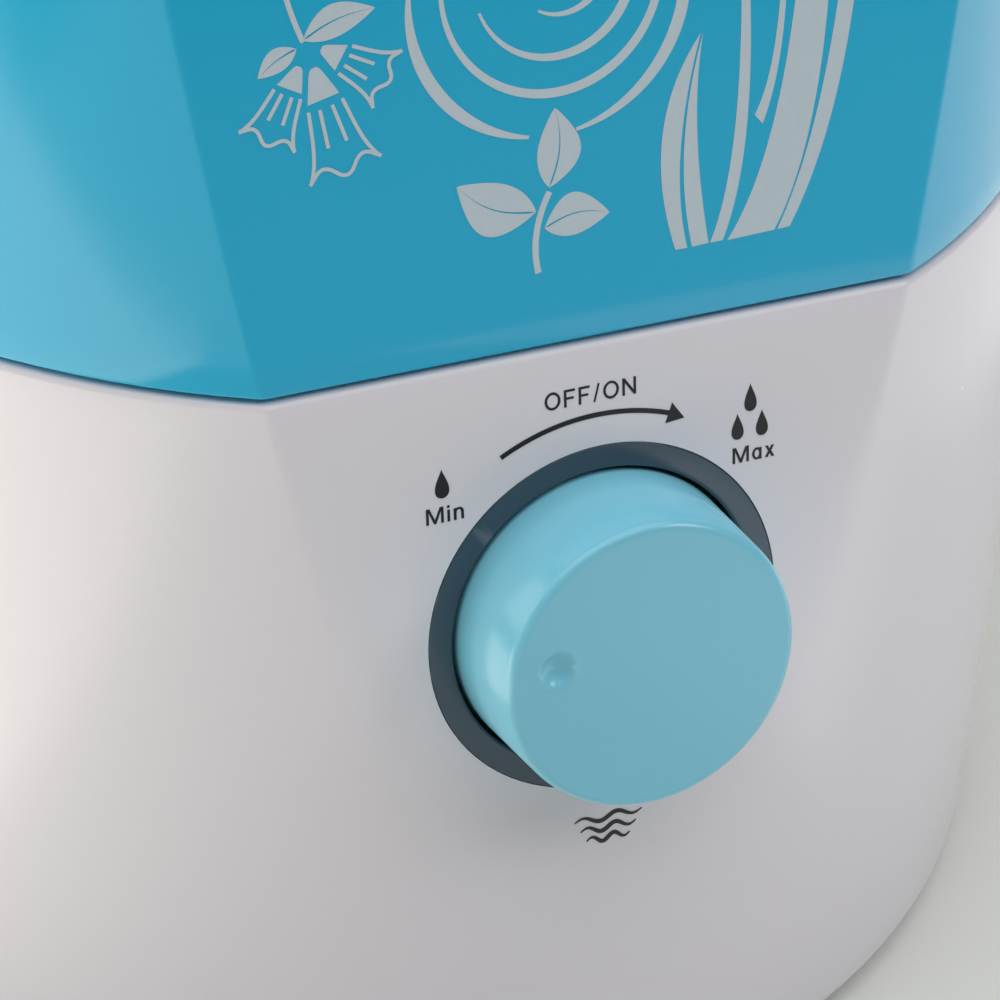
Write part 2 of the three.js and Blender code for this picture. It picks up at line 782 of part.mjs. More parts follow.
function tankFloor() {
  const { x, y } = neckPlace;
  const { radius, wall: neckWall, length } = neck;
  const top = tankFloorUnder + floorThickness;
  const plate = outline(tankRadiusAt, tankFloorUnder, top, tankWall + gap);
  const footOuter = footRingInner + footRing.wall;
  const foot = ring(footRingInner, footOuter, deckTop + gap, tankFloorUnder + 0.5, segments.large);
  const neckTube = rod(radius, tankFloorUnder - length, tankFloorUnder + 0.5, segments.medium, x, y);
  const neckBore = rod(radius - neckWall, tankFloorUnder - length - 1, top + 1, segments.medium, x, y);
  const tubeHole = rod(mistTube.radius + gap, tankFloorUnder - 1, top + 1);
  return cut(join(plate, cut(foot, frontOf(tankWall + gap)), neckTube), neckBore, tubeHole);
}

const mistTubeBottom = tankFloorUnder - 5;

function mistTubePiece() {
  const top = dishFloor + 2;
  return ring(mistTube.radius - mistTube.wall, mistTube.radius, mistTubeBottom, top);
}

function tubeSeal(low) {
  const inner = mistTube.radius + gap;
  const outer = inner + 2.5;
  const high = low + 2;
  const profile = [[inner, low], [outer, low], [outer - 1, high], [inner, high], [inner, low]];
  return turned(profile, segments.medium);
}

// ---------------------------------------------------------------- filler cap and its valve
const capInner = neck.radius + 2 * gap;
const capOuter = capInner + capWall;
const capUnder = tankFloorUnder - neck.length - capDrop;
const capFloorTop = capUnder + capWall;
const capTop = tankFloorUnder - 2 * gap;
const valveStemBottom = capUnder - valveReach;
const valveSealLow = capFloorTop + gap;
const valveSealHigh = valveSealLow + 1.5;
const valveHeadLow = valveSealHigh + gap;
const valveHeadHigh = valveHeadLow + 2;
const springLength = valveTravel + springCoil.turns * springCoil.wire * 2 + 1.6;
const guidePlateLow = valveHeadHigh + springLength;
const guidePlateHigh = guidePlateLow + 1.8;
const guideRadius = valveHeadRadius + guideReach;

function tankCap() {
  const { x, y } = neckPlace;
  const cup = cut(
    rod(capOuter, capUnder, capTop, segments.medium, x, y),
    rod(capInner, capFloorTop, capTop + 1, segments.medium, x, y),
    rod(valveHole, capUnder - 1, capFloorTop + 1, segments.medium, x, y),
  );
  const ribs = [];
  for (let i = 0; i < 12; i++) {
    const angle = (i * Math.PI) / 6;
    const at = polar(capOuter, angle);
    ribs.push(block(1.2, 3, capUnder + 1, capTop - 1.5, x + at.x, y + at.y, angle));
  }
  const barTop = capUnder + 1.5;
  const bars = [0, 1].map((i) => block(valveHole * 2 + 1, 1.8, capUnder, barTop, x, y, i * quarterTurn));
  const eye = ring(valveStemRadius + gap, valveStemRadius + 2, capUnder, barTop, segments.small, x, y);
  const stemWay = rod(valveStemRadius + gap, capUnder - 1, capUnder + 2, segments.small, x, y);
  return cut(join(cup, ...ribs, ...bars, eye), stemWay);
}

function capGasket() {
  const { x, y } = neckPlace;
  const { radius, wall: neckWall } = neck;
  const top = tankFloorUnder - neck.length - gap;
  return ring(radius - neckWall - 0.5, radius, capFloorTop + gap, top, segments.medium, x, y);
}

function valveGuide() {
  const { x, y } = neckPlace;
  const low = capFloorTop + gap;
  const baseRing = ring(valveHeadRadius + 3, guideRadius, low, low + 1.4, segments.medium, x, y);
  const plate = ring(valveStemRadius + gap, 5, guidePlateLow, guidePlateHigh, segments.medium, x, y);
  const arms = [];
  for (let i = 0; i < 3; i++) {
    const angle = (i * 2 * Math.PI) / 3;
    const legAt = polar(guideRadius - 1.2, angle);
    const armAt = polar((guideRadius + 4) / 2, angle);
    arms.push(block(2.2, 3.4, low, guidePlateHigh, x + legAt.x, y + legAt.y, angle));
    arms.push(block(guideRadius - 4, 3.4, guidePlateLow, guidePlateHigh, x + armAt.x, y + armAt.y, angle));
  }
  return join(baseRing, plate, ...arms);
}

function valvePlunger() {
  const { x, y } = neckPlace;
  return turned(
    [
      [0, valveStemBottom],
      [valveStemRadius, valveStemBottom],
      [valveStemRadius, valveHeadLow],
      [valveHeadRadius, valveHeadLow],
      [valveHeadRadius, valveHeadHigh],
      [valveStemRadius, valveHeadHigh],
      [valveStemRadius, guidePlateHigh + 1],
      [0, guidePlateHigh + 1],
    ],
    segments.medium,
    x,
    y,
  );
}

function valveSeal() {
  const { x, y } = neckPlace;
  const outer = valveHeadRadius + 0.7;
  return ring(valveStemRadius + gap, outer, valveSealLow, valveSealHigh, segments.medium, x, y);
}

class Coil extends THREE.Curve {
  constructor({ radius, turns }, low, high) {
    super();
    Object.assign(this, { radius, turns, low, high });
  }

  getPoint(t, target = new THREE.Vector3()) {
    const angle = 2 * Math.PI * this.turns * t;
    const { x, y } = polar(this.radius, angle);
    return target.set(neckPlace.x + x, neckPlace.y + y, this.low + (this.high - this.low) * t);
  }
}

function valveSpring() {
  const margin = springCoil.wire + gap;
  const coil = new Coil(springCoil, valveHeadHigh + margin, guidePlateLow - margin);
  return tubeAlong(coil, springCoil.wire, springCoil.turns * 12, 5);
}

// ---------------------------------------------------------------- nozzle
const collarLow = dishFloor + gap;
const collarTop = tankTop + 2;
const collarBore = mistTube.radius - mistTube.wall - 2 * gap - 1.4;
const spigotOuter = mistTube.radius - mistTube.wall - 2 * gap;

function nozzleCollar() {
  const rim = dishRadius - 0.6;
  const seatRadius = spoutRadius + 0.6;
  const seat = collarTop - 3;
  const tubeEnd = dishFloor + 2 + gap;
  return turned(
    [
      [collarBore, dishFloor - 8],
      [spigotOuter, dishFloor - 8],
      [spigotOuter, tubeEnd],
      [mistTube.radius + 1, tubeEnd],
      [mistTube.radius + 1, collarLow],
      [rim, collarLow],
      [rim, collarTop - 1],
      [rim - 1, collarTop],
      [seatRadius, collarTop],
      [seatRadius, seat],
      [collarBore, seat],
      [collarBore, dishFloor - 8],
    ],
    segments.medium,
  );
}

function nozzleSpout() {
  const low = collarTop - 3 + gap;
  const dome = (radius, height, bottom) => {
    const points = [];
    const straight = bottom + height * 0.35;
    const steps = 5;
    for (let i = 0; i <= steps; i++) {
      const angle = (i / steps) * quarterTurn;
      points.push([radius * Math.cos(angle), straight + (bottom + height - straight) * Math.sin(angle)]);
    }
    points[steps][0] = 0;
    return turned([[0, bottom], [radius, bottom], ...points], segments.medium);
  };
  const outer = dome(spoutRadius, nozzleHeight, low);
  const inner = dome(spoutRadius - spoutWall, nozzleHeight - spoutWall, low - 1);
  const aim = (radius, length) => {
    const geometry = new THREE.CylinderGeometry(radius, radius, length, segments.medium);
    geometry.translate(0, length / 2, 0);
    geometry.rotateX(quarterTurn + mouth.lean);
    geometry.translate(0, 0, low + mouth.height);
    return solid(geometry);
  };
  const lip = cut(aim(mouth.radius + spoutWall, mouth.reach), inner);
  return cut(join(cut(outer, inner), lip), aim(mouth.radius, mouth.reach + 10));
}

// ---------------------------------------------------------------- leads inside the base
const lead = (points) => tubeAlong(new THREE.CatmullRomCurve3(points), leadRadius, 16, 6);
const vector = (x, y, z) => new THREE.Vector3(x, y, z);

function leads() {
  const boardTop = boardHigh + gap;
  const leadEnd = { x: driverBoard.x + 14, y: driverBoard.y };
  const pot = dialPoint(0, -2, -potFront + potDepth + 2 * gap);
  return {
    transducer_lead: lead([
      vector(0, 0, basinFloor - 2.6),
      vector(0, 0, clampTop - 12),
      vector(leadEnd.x / 2, leadEnd.y / 2, (boardTop + clampTop) / 2 - 6),
      vector(leadEnd.x, leadEnd.y + 8, boardTop + 14),
      vector(leadEnd.x, leadEnd.y + 8, boardTop),
    ]),
    fan_lead: lead([
      vector(tower.x - fanSize / 2 - 2 * gap, tower.y - 12, fanLow + 8),
      vector(tower.x - fanSize / 2 - 8, tower.y - 12, fanLow + 9),
      vector(leadEnd.x + 10, leadEnd.y + 14, boardTop + 9),
      vector(leadEnd.x + 8, leadEnd.y + 14, boardTop),
    ]),
    dial_lead: lead([
      pot,
      vector(pot.x - 1, pot.y + 4, pot.z - 2),
      vector(pot.x - 8, pot.y + 6, pot.z - 20),
      vector(leadEnd.x, leadEnd.y - 12, boardTop + 16),
      vector(leadEnd.x, leadEnd.y - 12, boardTop),
    ]),
  };
}

// ---------------------------------------------------------------- assembly
piece(humidifier, "base_shell", baseShell(), white);
piece(humidifier, "deck_seal", deckSeal(), rubber);
piece(humidifier, "reservoir_deck", reservoirDeck(), white);
piece(humidifier, "bottom_cover", bottomCover(), grey);

diagonals.forEach((angle, i) => {
  const foot = polar(footCircle, angle);
  const footTop = footHeight + headPocket - gap;
  const side = [[footRadius - 0.8, 0], [footRadius, 0.8], [footRadius, footTop]];
  const shape = turned([[0, 0], ...side, [0, footTop]], segments.medium);
  piece(humidifier, `rubber_foot_${i + 1}`, shape, rubber).position.set(foot.x, foot.y, 0);
  const boss = polar(bossCircle, angle);
  const screw = piece(humidifier, `bottom_screw_${i + 1}`, screwUp(bossHeight - 4, 2.8), steel);
  screw.position.set(boss.x, boss.y, footHeight + headPocket - gap);
});

piece(dial, "dial_ring", dialRing(), smoked);
piece(dial, "dial_light_board", dialLightBoard(), board);
piece(dial, "potentiometer", potentiometer(), grey);
piece(dial, "potentiometer_nut", potentiometerNut(), steel);
piece(dial, "knob", knob(), paleBlue);
piece(dial, "knob_shaft", knobShaft(), brass);

piece(humidifier, "transducer_seal", transducerSeal(), rubber);
piece(humidifier, "transducer_disc", transducerDisc(), brass);
piece(humidifier, "transducer_clamp", transducerClamp(), steel);
clampAngles.forEach((angle, i) => {
  const { x, y } = polar(clampScrewCircle, angle);
  const screw = piece(humidifier, `clamp_screw_${i + 1}`, screwUp(4.6, 2.6, 1.4), steel);
  screw.position.set(x, y, clampTop - clampThickness - gap);
});

piece(humidifier, "float", float(), clear);
piece(humidifier, "float_magnet", floatMagnet(), steel);
piece(humidifier, "float_retainer", floatRetainer(), white);
piece(humidifier, "level_switch", levelSwitch(), board);

piece(humidifier, "fan_housing", fanHousing(), rubber);
piece(humidifier, "fan_rotor", fanRotor(), rubber);
piece(humidifier, "air_duct", airDuct(), grey);
fanCorners().slice(0, 2).forEach(({ x, y }, i) => {
  const screw = piece(humidifier, `fan_screw_${i + 1}`, screwUp(fanThickness + fanStandoff, 2.8), steel);
  screw.position.set(x, y, fanHigh + gap);
  screw.rotation.x = Math.PI;
});

const driverParts = [[8, 10, 7, 22, 0], [10, 8, 5, 4, -14]]; // width, depth, height, x and y on the board
piece(humidifier, "driver_board", circuitBoard(driverBoard, driverParts), board);
piece(humidifier, "heat_sink", heatSink(), aluminium);
const powerParts = [[12, 14, 16, 17, -12], [10, 10, 12, 18, 6]];
piece(humidifier, "power_board", circuitBoard(powerBoard, powerParts), board);
piece(humidifier, "transformer", transformer(), steel);
const screwPlaces = [driverBoard, powerBoard].flatMap((place) => boardCorners(place).slice(0, 2));
screwPlaces.forEach(({ x, y }, i) => {
  const screw = piece(humidifier, `board_screw_${i + 1}`, screwUp(boardThickness + 6, 2.6, 1.4), steel);
  screw.position.set(x, y, boardHigh + gap);
  screw.rotation.x = Math.PI;
});
for (const [name, body] of Object.entries(leads())) piece(humidifier, name, body, rubber);

piece(humidifier, "cord_gland", cordGland(), white);
piece(humidifier, "gland_nut", glandNut(), grey);

piece(humidifier, "tank_shell", tankShell(), blue);
piece(humidifier, "tank_floor", tankFloor(), blue);
piece(humidifier, "mist_tube", mistTubePiece(), blue);
piece(humidifier, "tube_seal_bottom", tubeSeal(tankFloorUnder + floorThickness + gap), rubber);
piece(humidifier, "tube_seal_top", tubeSeal(dishFloor - tankWall - 2 - gap), rubber);

piece(humidifier, "tank_cap", tankCap(), white);
piece(humidifier, "cap_gasket", capGasket(), rubber);
piece(humidifier, "valve_guide", valveGuide(), white);
piece(humidifier, "valve_plunger", valvePlunger(), white);
piece(humidifier, "valve_seal", valveSeal(), rubber);
piece(humidifier, "valve_spring", valveSpring(), steel);

piece(humidifier, "nozzle_collar", nozzleCollar(), white);
piece(humidifier, "nozzle_spout", nozzleSpout(), white);

export default humidifier;
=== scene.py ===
# %% [markdown]
# # A cool mist humidifier, finished in Blender
# The working model of the humidifier is already built: every part, gap and joint is fixed, and its outlines
# are plain. This file dresses that model. Each shell that shows is made again with its true curves and soft
# edges, every part gets a material with the small unevenness of a real moulding, and the dial's markings
# and the tank's decoration are laid on the flat front. Blender counts in metres. Small profiles are drawn
# in millimetres and brought to metres by MM, and GAP is the air, in millimetres, between parts that lie
# against each other.

# %% Load the working model
import json
import math

import bmesh
import bpy
import numpy as np
from mathutils import Matrix, Vector


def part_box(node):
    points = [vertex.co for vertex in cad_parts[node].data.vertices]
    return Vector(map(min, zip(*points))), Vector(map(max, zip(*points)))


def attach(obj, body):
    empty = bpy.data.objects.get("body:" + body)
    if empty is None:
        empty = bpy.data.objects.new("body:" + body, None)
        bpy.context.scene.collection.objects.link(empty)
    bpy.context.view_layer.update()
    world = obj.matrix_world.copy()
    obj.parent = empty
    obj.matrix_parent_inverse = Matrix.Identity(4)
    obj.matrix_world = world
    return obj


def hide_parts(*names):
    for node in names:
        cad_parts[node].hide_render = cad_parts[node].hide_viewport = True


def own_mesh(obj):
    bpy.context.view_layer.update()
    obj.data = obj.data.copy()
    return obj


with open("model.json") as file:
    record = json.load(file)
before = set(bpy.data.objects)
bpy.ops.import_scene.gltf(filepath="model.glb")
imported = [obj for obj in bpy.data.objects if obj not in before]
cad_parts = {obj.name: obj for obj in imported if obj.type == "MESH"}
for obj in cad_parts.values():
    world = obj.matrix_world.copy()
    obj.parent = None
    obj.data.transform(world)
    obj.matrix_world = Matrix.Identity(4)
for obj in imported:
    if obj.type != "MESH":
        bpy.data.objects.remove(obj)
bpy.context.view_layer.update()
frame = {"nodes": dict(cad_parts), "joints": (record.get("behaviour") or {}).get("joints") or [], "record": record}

MM = 0.001
GAP = 0.3
nodes = frame["nodes"]
joints = {joint["name"]: joint for joint in frame["joints"]}
print("parts in the working model:", len(nodes))

# %% [markdown]
# ## Where things are
# The dial's hinge tells where the flat front is: its point lies on the front's surface and its axis points
# straight into the body. Up the front is the direction square to that axis. Most heights and radii come
# from the boxes of the parts, so that the shells made here fit the parts they stand for. The base draws in
# a little by the middle of its height and more by its top, and the tank goes on with an even taper.

# %% Read the sizes from the working model
dial_centre = Vector(joints["knob_turn"]["pos_m"])
dial_out = -Vector(joints["knob_turn"]["axis"]).normalized()
across = Vector((1, 0, 0))
dial_up = dial_out.cross(across)
front_slope = dial_up.y / dial_up.z

base_low, base_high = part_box("base_shell")
tank_low, tank_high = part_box("tank_shell")
base_bottom, base_top = base_low.z, base_high.z
tank_bottom, tank_top = tank_low.z, tank_high.z
base_radius = base_high.x
DRAW_AT_MIDDLE = 0.5 * MM
DRAW_AT_TOP = 3.7 * MM
TANK_TAPER = 0.085
print("base", round(base_bottom, 4), "to", round(base_top, 4), "radius", round(base_radius, 4))
print("tank", round(tank_bottom, 4), "to", round(tank_top, 4), "radius", round(tank_high.x, 4))


# %% Say where the round body and the flat front are at a height
def base_round(z):
    """Radius of the base: a slow barrel curve that draws in towards the parting line."""
    t = (z - base_bottom) / (base_top - base_bottom)
    return base_radius - 4 * t * (1 - t) * DRAW_AT_MIDDLE - 2 * t * (t - 0.5) * DRAW_AT_TOP


def tank_round(z):
    """Radius of the tank: a straight taper."""
    return base_radius - DRAW_AT_TOP - TANK_TAPER * (z - base_top)


def front_distance(z):
    """Distance from the body's axis to the flat front."""
    return -dial_centre.y - (z - dial_centre.z) * front_slope


def fade(low, high, x):
    """0 below low, 1 above high, and smooth between."""
    t = min(max((x - low) / (high - low), 0.0), 1.0)
    return t * t * (3 - 2 * t)


print("flat front at the dial", round(front_distance(dial_centre.z), 4))

# %% [markdown]
# ## Camera
# The view looks down onto the dial from the left, with a long lens, as someone bending over the table
# would. The camera is set by where it aims and by its turn, height and roll about that point. Depth of
# field stays off.


# %% Place the camera
def place_camera(aim, azimuth, elevation, roll, distance, lens):
    a, e, r = (math.radians(v) for v in (azimuth, elevation, roll))
    back = Vector((math.sin(a) * math.cos(e), -math.cos(a) * math.cos(e), math.sin(e)))
    right = (-back).cross(Vector((0, 0, 1))).normalized()
    up = right.cross(-back)
    side = right * math.cos(r) + up * math.sin(r)
    top = up * math.cos(r) - right * math.sin(r)
    data = bpy.data.cameras.new("camera")
    data.lens = lens
    data.sensor_width = 36
    data.clip_start = 0.01
    camera = bpy.data.objects.new("camera", data)
    bpy.context.scene.collection.objects.link(camera)
    turn = Matrix((side, top, back)).transposed().to_4x4()
    camera.matrix_world = Matrix.Translation(aim + back * distance) @ turn
    bpy.context.scene.camera = camera
    return camera


camera = place_camera(
    aim=dial_centre + Vector((-14.4, 0, 20.6)) * MM,
    azimuth=-24.73,
    elevation=35.35,
    roll=2.95,
    distance=0.3871,
    lens=122.76,
)
bpy.context.view_layer.update()
print("camera at", [round(v, 3) for v in camera.matrix_world.translation])

# %% [markdown]
# ## Light
# A pale room. A wide ceiling light does most of the work, a small window light from the front right lets
# the knob throw a faint shadow to its lower left, and a third light stands for the rest of the room at the
# left. Four glowing cards lie on the table, as a studio lays reflectors: glossy plastic shows them as pale
# shapes on its round sides, which is what makes it look glossy. The cards face up, so they light nothing
# but the object. Lights are hidden from the camera itself.


# %% Light the scene
def colour(red, green, blue):
    """An sRGB colour of 0 to 255 as the linear values a shader takes."""
    linear = [v / 255 / 12.92 if v <= 10 else ((v / 255 + 0.055) / 1.055) ** 2.4 for v in (red, green, blue)]
    return (*linear, 1)


def soft_light(name, place, aim, size, power, tint):
    data = bpy.data.lights.new(name, "AREA")
    data.shape = "RECTANGLE"
    data.size, data.size_y = size
    data.energy = power
    data.color = tint
    light = bpy.data.objects.new(name, data)
    bpy.context.scene.collection.objects.link(light)
    light.location = place
    facing = (Vector(aim) - Vector(place)).to_track_quat("-Z", "Y")
    light.rotation_euler = facing.to_matrix().to_euler()
    light.visible_camera = False
    return light


def card(name, x, y, size, radiance, turn, tint):
    """A card on the table that glows upwards with a given radiance."""
    light = soft_light(name, (x, y, 0.004), (x, y, 1), size, 1, tint)
    light.rotation_euler = (math.pi, 0, math.radians(turn))
    light.data.energy = radiance * math.pi * size[0] * size[1]
    return light


soft_light("ceiling", (-0.15, -0.25, 1.9), (0, 0, 0.1), (2.6, 2.0), 31, (0.99, 1, 1))
soft_light("window", (0.9, -0.8, 1.0), (0, -0.05, 0.1), (0.5, 0.5), 4, (0.94, 0.97, 1))
soft_light("left_room", (-1.6, 0.5, 0.8), (0, 0, 0.12), (1.2, 1.0), 8, (1, 0.985, 0.96))
card("left_card", -0.395, 0.01, (0.55, 0.4), 2.2, -23.7, (1, 0.96, 0.84))
card("left_front_card", -0.34, -0.36, (0.3, 0.28), 0.5, -23.7, (1, 0.98, 0.9))
card("right_card", 0.40, -0.04, (0.4, 0.5), 0.65, 0, (0.93, 0.97, 1))
card("front_card", 0.145, -0.27, (0.11, 0.32), 0.6, 0, (0.97, 0.98, 1))

world = bpy.data.worlds.new("room_air")
world.use_nodes = True
world.node_tree.nodes["Background"].inputs["Color"].default_value = (0.83, 0.825, 0.85, 1)
world.node_tree.nodes["Background"].inputs["Strength"].default_value = 0.08
bpy.context.scene.world = world
bpy.context.scene.view_settings.view_transform = "Standard"
print("lights:", [light.name for light in bpy.data.lights])

# %% [markdown]
# ## Materials
# Moulded plastic is never one flat colour. Its gloss wanders a little, a faint ripple from the mould shows
# in reflections, the colour drifts by a percent or two, and fine scratches and dust gather where hands
# touch it. One recipe makes all of these from layers of noise, and each finish sets how strong each layer
# is. The noise reads the object's own coordinates, so it stays with the part when the part moves.


# %% A small kit for building materials
class Recipe:
    """A material's node tree, built one node at a time."""

    def __init__(self, name):
        self.material = bpy.data.materials.new(name)
        self.material.use_nodes = True
        self.tree = self.material.node_tree
        self.shader = self.tree.nodes["Principled BSDF"]
        self.coordinates = self.node("ShaderNodeTexCoord").outputs["Object"]

    def node(self, kind, **settings):
        made = self.tree.nodes.new(kind)
        for key, value in settings.items():
            setattr(made, key, value)
        return made

    def link(self, source, target):
        self.tree.links.new(source, target)

    def noise(self, scale, detail=4, roughness=0.55, stretch=(1, 1, 1)):
        """Noise of so many cells per metre, stretched along an axis for brushed and drawn surfaces."""
        mapping = self.node("ShaderNodeMapping")
        mapping.inputs["Scale"].default_value = stretch
        self.link(self.coordinates, mapping.inputs["Vector"])
        texture = self.node("ShaderNodeTexNoise")
        texture.inputs["Scale"].default_value = scale
        texture.inputs["Detail"].default_value = detail
        texture.inputs["Roughness"].default_value = roughness
        self.link(mapping.outputs["Vector"], texture.inputs["Vector"])
        return texture.outputs["Fac"]

    def spread(self, value, low, high, start=0.3, end=0.7):
        """Maps a value between start and end onto low to high."""
        made = self.node("ShaderNodeMapRange")
        for key, number in zip(("From Min", "From Max", "To Min", "To Max"), (start, end, low, high)):
            made.inputs[key].default_value = number
        self.link(value, made.inputs["Value"])
        return made.outputs["Result"]

    def blend(self, share, first, second):
        """Mixes two colours; each may be four numbers or another node's colour."""
        made = self.node("ShaderNodeMix", data_type="RGBA")
        self.link(share, made.inputs["Factor"])
        for socket, value in ((made.inputs[6], first), (made.inputs[7], second)):
            if isinstance(value, tuple):
                socket.default_value = value
            else:
                self.link(value, socket)
        return made.outputs[2]

    def combine(self, operation, first, second):
        made = self.node("ShaderNodeMath", operation=operation)
        for socket, value in zip(made.inputs, (first, second)):
            if isinstance(value, (int, float)):
                socket.default_value = value
            else:
                self.link(value, socket)
        return made.outputs[0]

    def bump(self, *layers):
        """Stacks (height, depth in metres) layers into the shader's normal."""
        below = None
        for height, depth in layers:
            made = self.node("ShaderNodeBump")
            made.inputs["Distance"].default_value = depth
            made.inputs["Strength"].default_value = 1
            self.link(height, made.inputs["Height"])
            if below is not None:
                self.link(below, made.inputs["Normal"])
            below = made.outputs["Normal"]
        self.link(below, self.shader.inputs["Normal"])

    def set(self, **values):
        """Sets constants directly on the shader."""
        for key, value in values.items():
            self.shader.inputs[key.replace("_", " ")].default_value = value


def shade(tone, factor):
    return (*(channel * factor for channel in tone[:3]), 1)


print("material kit ready")


# %% [markdown]
# ### Moulded plastic
# The white base, the turquoise tank, the knob and the other plastics share one recipe: broad colour drift,
# hand marks that raise the roughness in patches, fine scratches drawn out along one direction, a very
# shallow ripple and a finer pebble. Edges that stick out are painted a little lighter in patches, partly as
# wear and partly as a painted edge highlight; the pointiness of the mesh finds them.


# %% The moulded plastic recipe
def moulded(name, tone, roughness, drift=0.02, ripple=0.02, grain=0.003, scuffs=0.08, edge_wear_and_highlight=0.1, **shader):
    recipe = Recipe(name)
    patches = recipe.noise(9, 2)
    handled = recipe.noise(26, 2)
    hairs = recipe.noise(300, 2, 0.5, (1, 1, 0.08))
    specks = recipe.noise(1500, 3, 0.7)
    waves = recipe.noise(38, 2)
    body = recipe.blend(recipe.spread(patches, 0, 1), shade(tone, 1 - drift), shade(tone, 1 + drift))
    edges = recipe.node("ShaderNodeNewGeometry").outputs["Pointiness"]
    # Edges that stick out are painted lighter, in patches: partly wear, partly a painted edge highlight.
    edge_wear_and_highlight_mask = recipe.spread(edges, 0, edge_wear_and_highlight, 0.53, 0.65)
    patchy_edge_wear_and_highlight = recipe.combine("MULTIPLY", edge_wear_and_highlight_mask, recipe.spread(handled, 0.4, 1))
    edge_wear_and_highlight_tone = tuple(0.35 * channel + 0.6 for channel in tone[:3]) + (1,)
    recipe.link(recipe.blend(patchy_edge_wear_and_highlight, body, edge_wear_and_highlight_tone), recipe.shader.inputs["Base Color"])
    scratches = recipe.spread(hairs, 0, scuffs, 0.62, 0.85)
    marks = recipe.combine("MULTIPLY", scratches, recipe.spread(handled, 0, 1, 0.4, 0.8))
    haze = recipe.combine("ADD", recipe.spread(specks, roughness * 0.9, roughness * 1.12), marks)
    recipe.link(haze, recipe.shader.inputs["Roughness"])
    recipe.bump((waves, ripple * MM), (specks, grain * MM))
    recipe.set(**shader)
    return recipe.material


# The edge setting in each finish is how strongly its edges get the painted edge highlight and wear.
white_housing = moulded("white_housing", colour(231, 226, 232), 0.24, drift=0.01, scuffs=0.03, edge_wear_and_highlight=0.3)
tank_blue = moulded("tank_blue", colour(10, 176, 218), 0.12, drift=0.02, ripple=0.03, edge_wear_and_highlight=0.35)
knob_blue = moulded("knob_blue", colour(128, 204, 226), 0.2, drift=0.015, ripple=0.006, edge_wear_and_highlight=0.5)
lens_smoke = moulded("lens_smoke", colour(64, 82, 96), 0.17, drift=0.12, ripple=0.006, scuffs=0.3, edge_wear_and_highlight=0.3)
grey_plastic = moulded("grey_plastic", colour(154, 160, 164), 0.46, grain=0.02)
black_plastic = moulded("black_plastic", colour(44, 46, 49), 0.42, grain=0.015)
print("moulded finishes: 6")


# %% [markdown]
# ### Rubber, milky float plastic, board and metals
# Rubber is rough with a dusty bloom. The float is milky and lets some light in. The circuit boards are a
# green mask with faint copper tracks under it. The metals are full metal with the fine lines that rolling
# or turning leaves, and brass darkens in patches.


# %% Rubber and the milky float
def dusty_rubber(name, tone):
    recipe = Recipe(name)
    dust = recipe.noise(30, 5)
    pores = recipe.noise(1400, 3, 0.7)
    body = recipe.blend(recipe.spread(dust, 0, 0.35, 0.45, 0.75), tone, colour(120, 122, 124))
    recipe.link(body, recipe.shader.inputs["Base Color"])
    recipe.link(recipe.spread(dust, 0.66, 0.9), recipe.shader.inputs["Roughness"])
    recipe.bump((pores, 0.03 * MM))
    return recipe.material


def milky(name, tone):
    recipe = Recipe(name)
    clouds = recipe.noise(60, 4)
    body = recipe.blend(clouds, shade(tone, 0.94), shade(tone, 1.03))
    recipe.link(body, recipe.shader.inputs["Base Color"])
    recipe.link(recipe.spread(recipe.noise(500), 0.3, 0.45), recipe.shader.inputs["Roughness"])
    recipe.bump((clouds, 0.02 * MM))
    recipe.set(Subsurface_Weight=0.35, Subsurface_Scale=0.004)
    return recipe.material


rubber = dusty_rubber("rubber", colour(52, 55, 58))
float_plastic = milky("float_plastic", colour(218, 228, 231))
print("rubber and float ready")


# %% Circuit board and metals
def circuit(name):
    recipe = Recipe(name)
    tracks = recipe.node("ShaderNodeTexVoronoi", feature="DISTANCE_TO_EDGE", distance="MANHATTAN")
    tracks.inputs["Scale"].default_value = 320
    recipe.link(recipe.coordinates, tracks.inputs["Vector"])
    line = recipe.spread(tracks.outputs["Distance"], 1, 0, 0.04, 0.09)
    mask = recipe.blend(recipe.noise(80), colour(28, 92, 58), colour(38, 112, 70))
    recipe.link(recipe.blend(line, mask, colour(84, 150, 96)), recipe.shader.inputs["Base Color"])
    recipe.link(recipe.spread(recipe.noise(300), 0.3, 0.5), recipe.shader.inputs["Roughness"])
    recipe.bump((line, 0.03 * MM))
    return recipe.material


def drawn_metal(name, tone, stain, roughness, lines=(1, 1, 0.04)):
    recipe = Recipe(name)
    brushed = recipe.noise(900, 4, 0.6, lines)
    patches = recipe.noise(70, 4)
    body = recipe.blend(recipe.spread(patches, 0, 1, 0.45, 0.75), tone, stain)
    recipe.link(body, recipe.shader.inputs["Base Color"])
    recipe.link(recipe.spread(brushed, roughness * 0.75, roughness * 1.3), recipe.shader.inputs["Roughness"])
    recipe.bump((brushed, 0.01 * MM))
    recipe.set(Metallic=1)
    return recipe.material


circuit_board = circuit("circuit_board")
steel = drawn_metal("steel", colour(190, 193, 196), colour(158, 160, 160), 0.3)
brass = drawn_metal("brass", colour(196, 168, 104), colour(150, 122, 70), 0.34)
aluminium = drawn_metal("aluminium", colour(202, 204, 206), colour(180, 182, 184), 0.4, (1, 0.04, 1))
print("materials made:", len(bpy.data.materials))

# %% [markdown]
# ### Give every part of the working model its finish
# The record says which finish each part has. Parts that stay as they are in the working model, such as the
# screws, boards and seals, only need that finish put in their material slot.

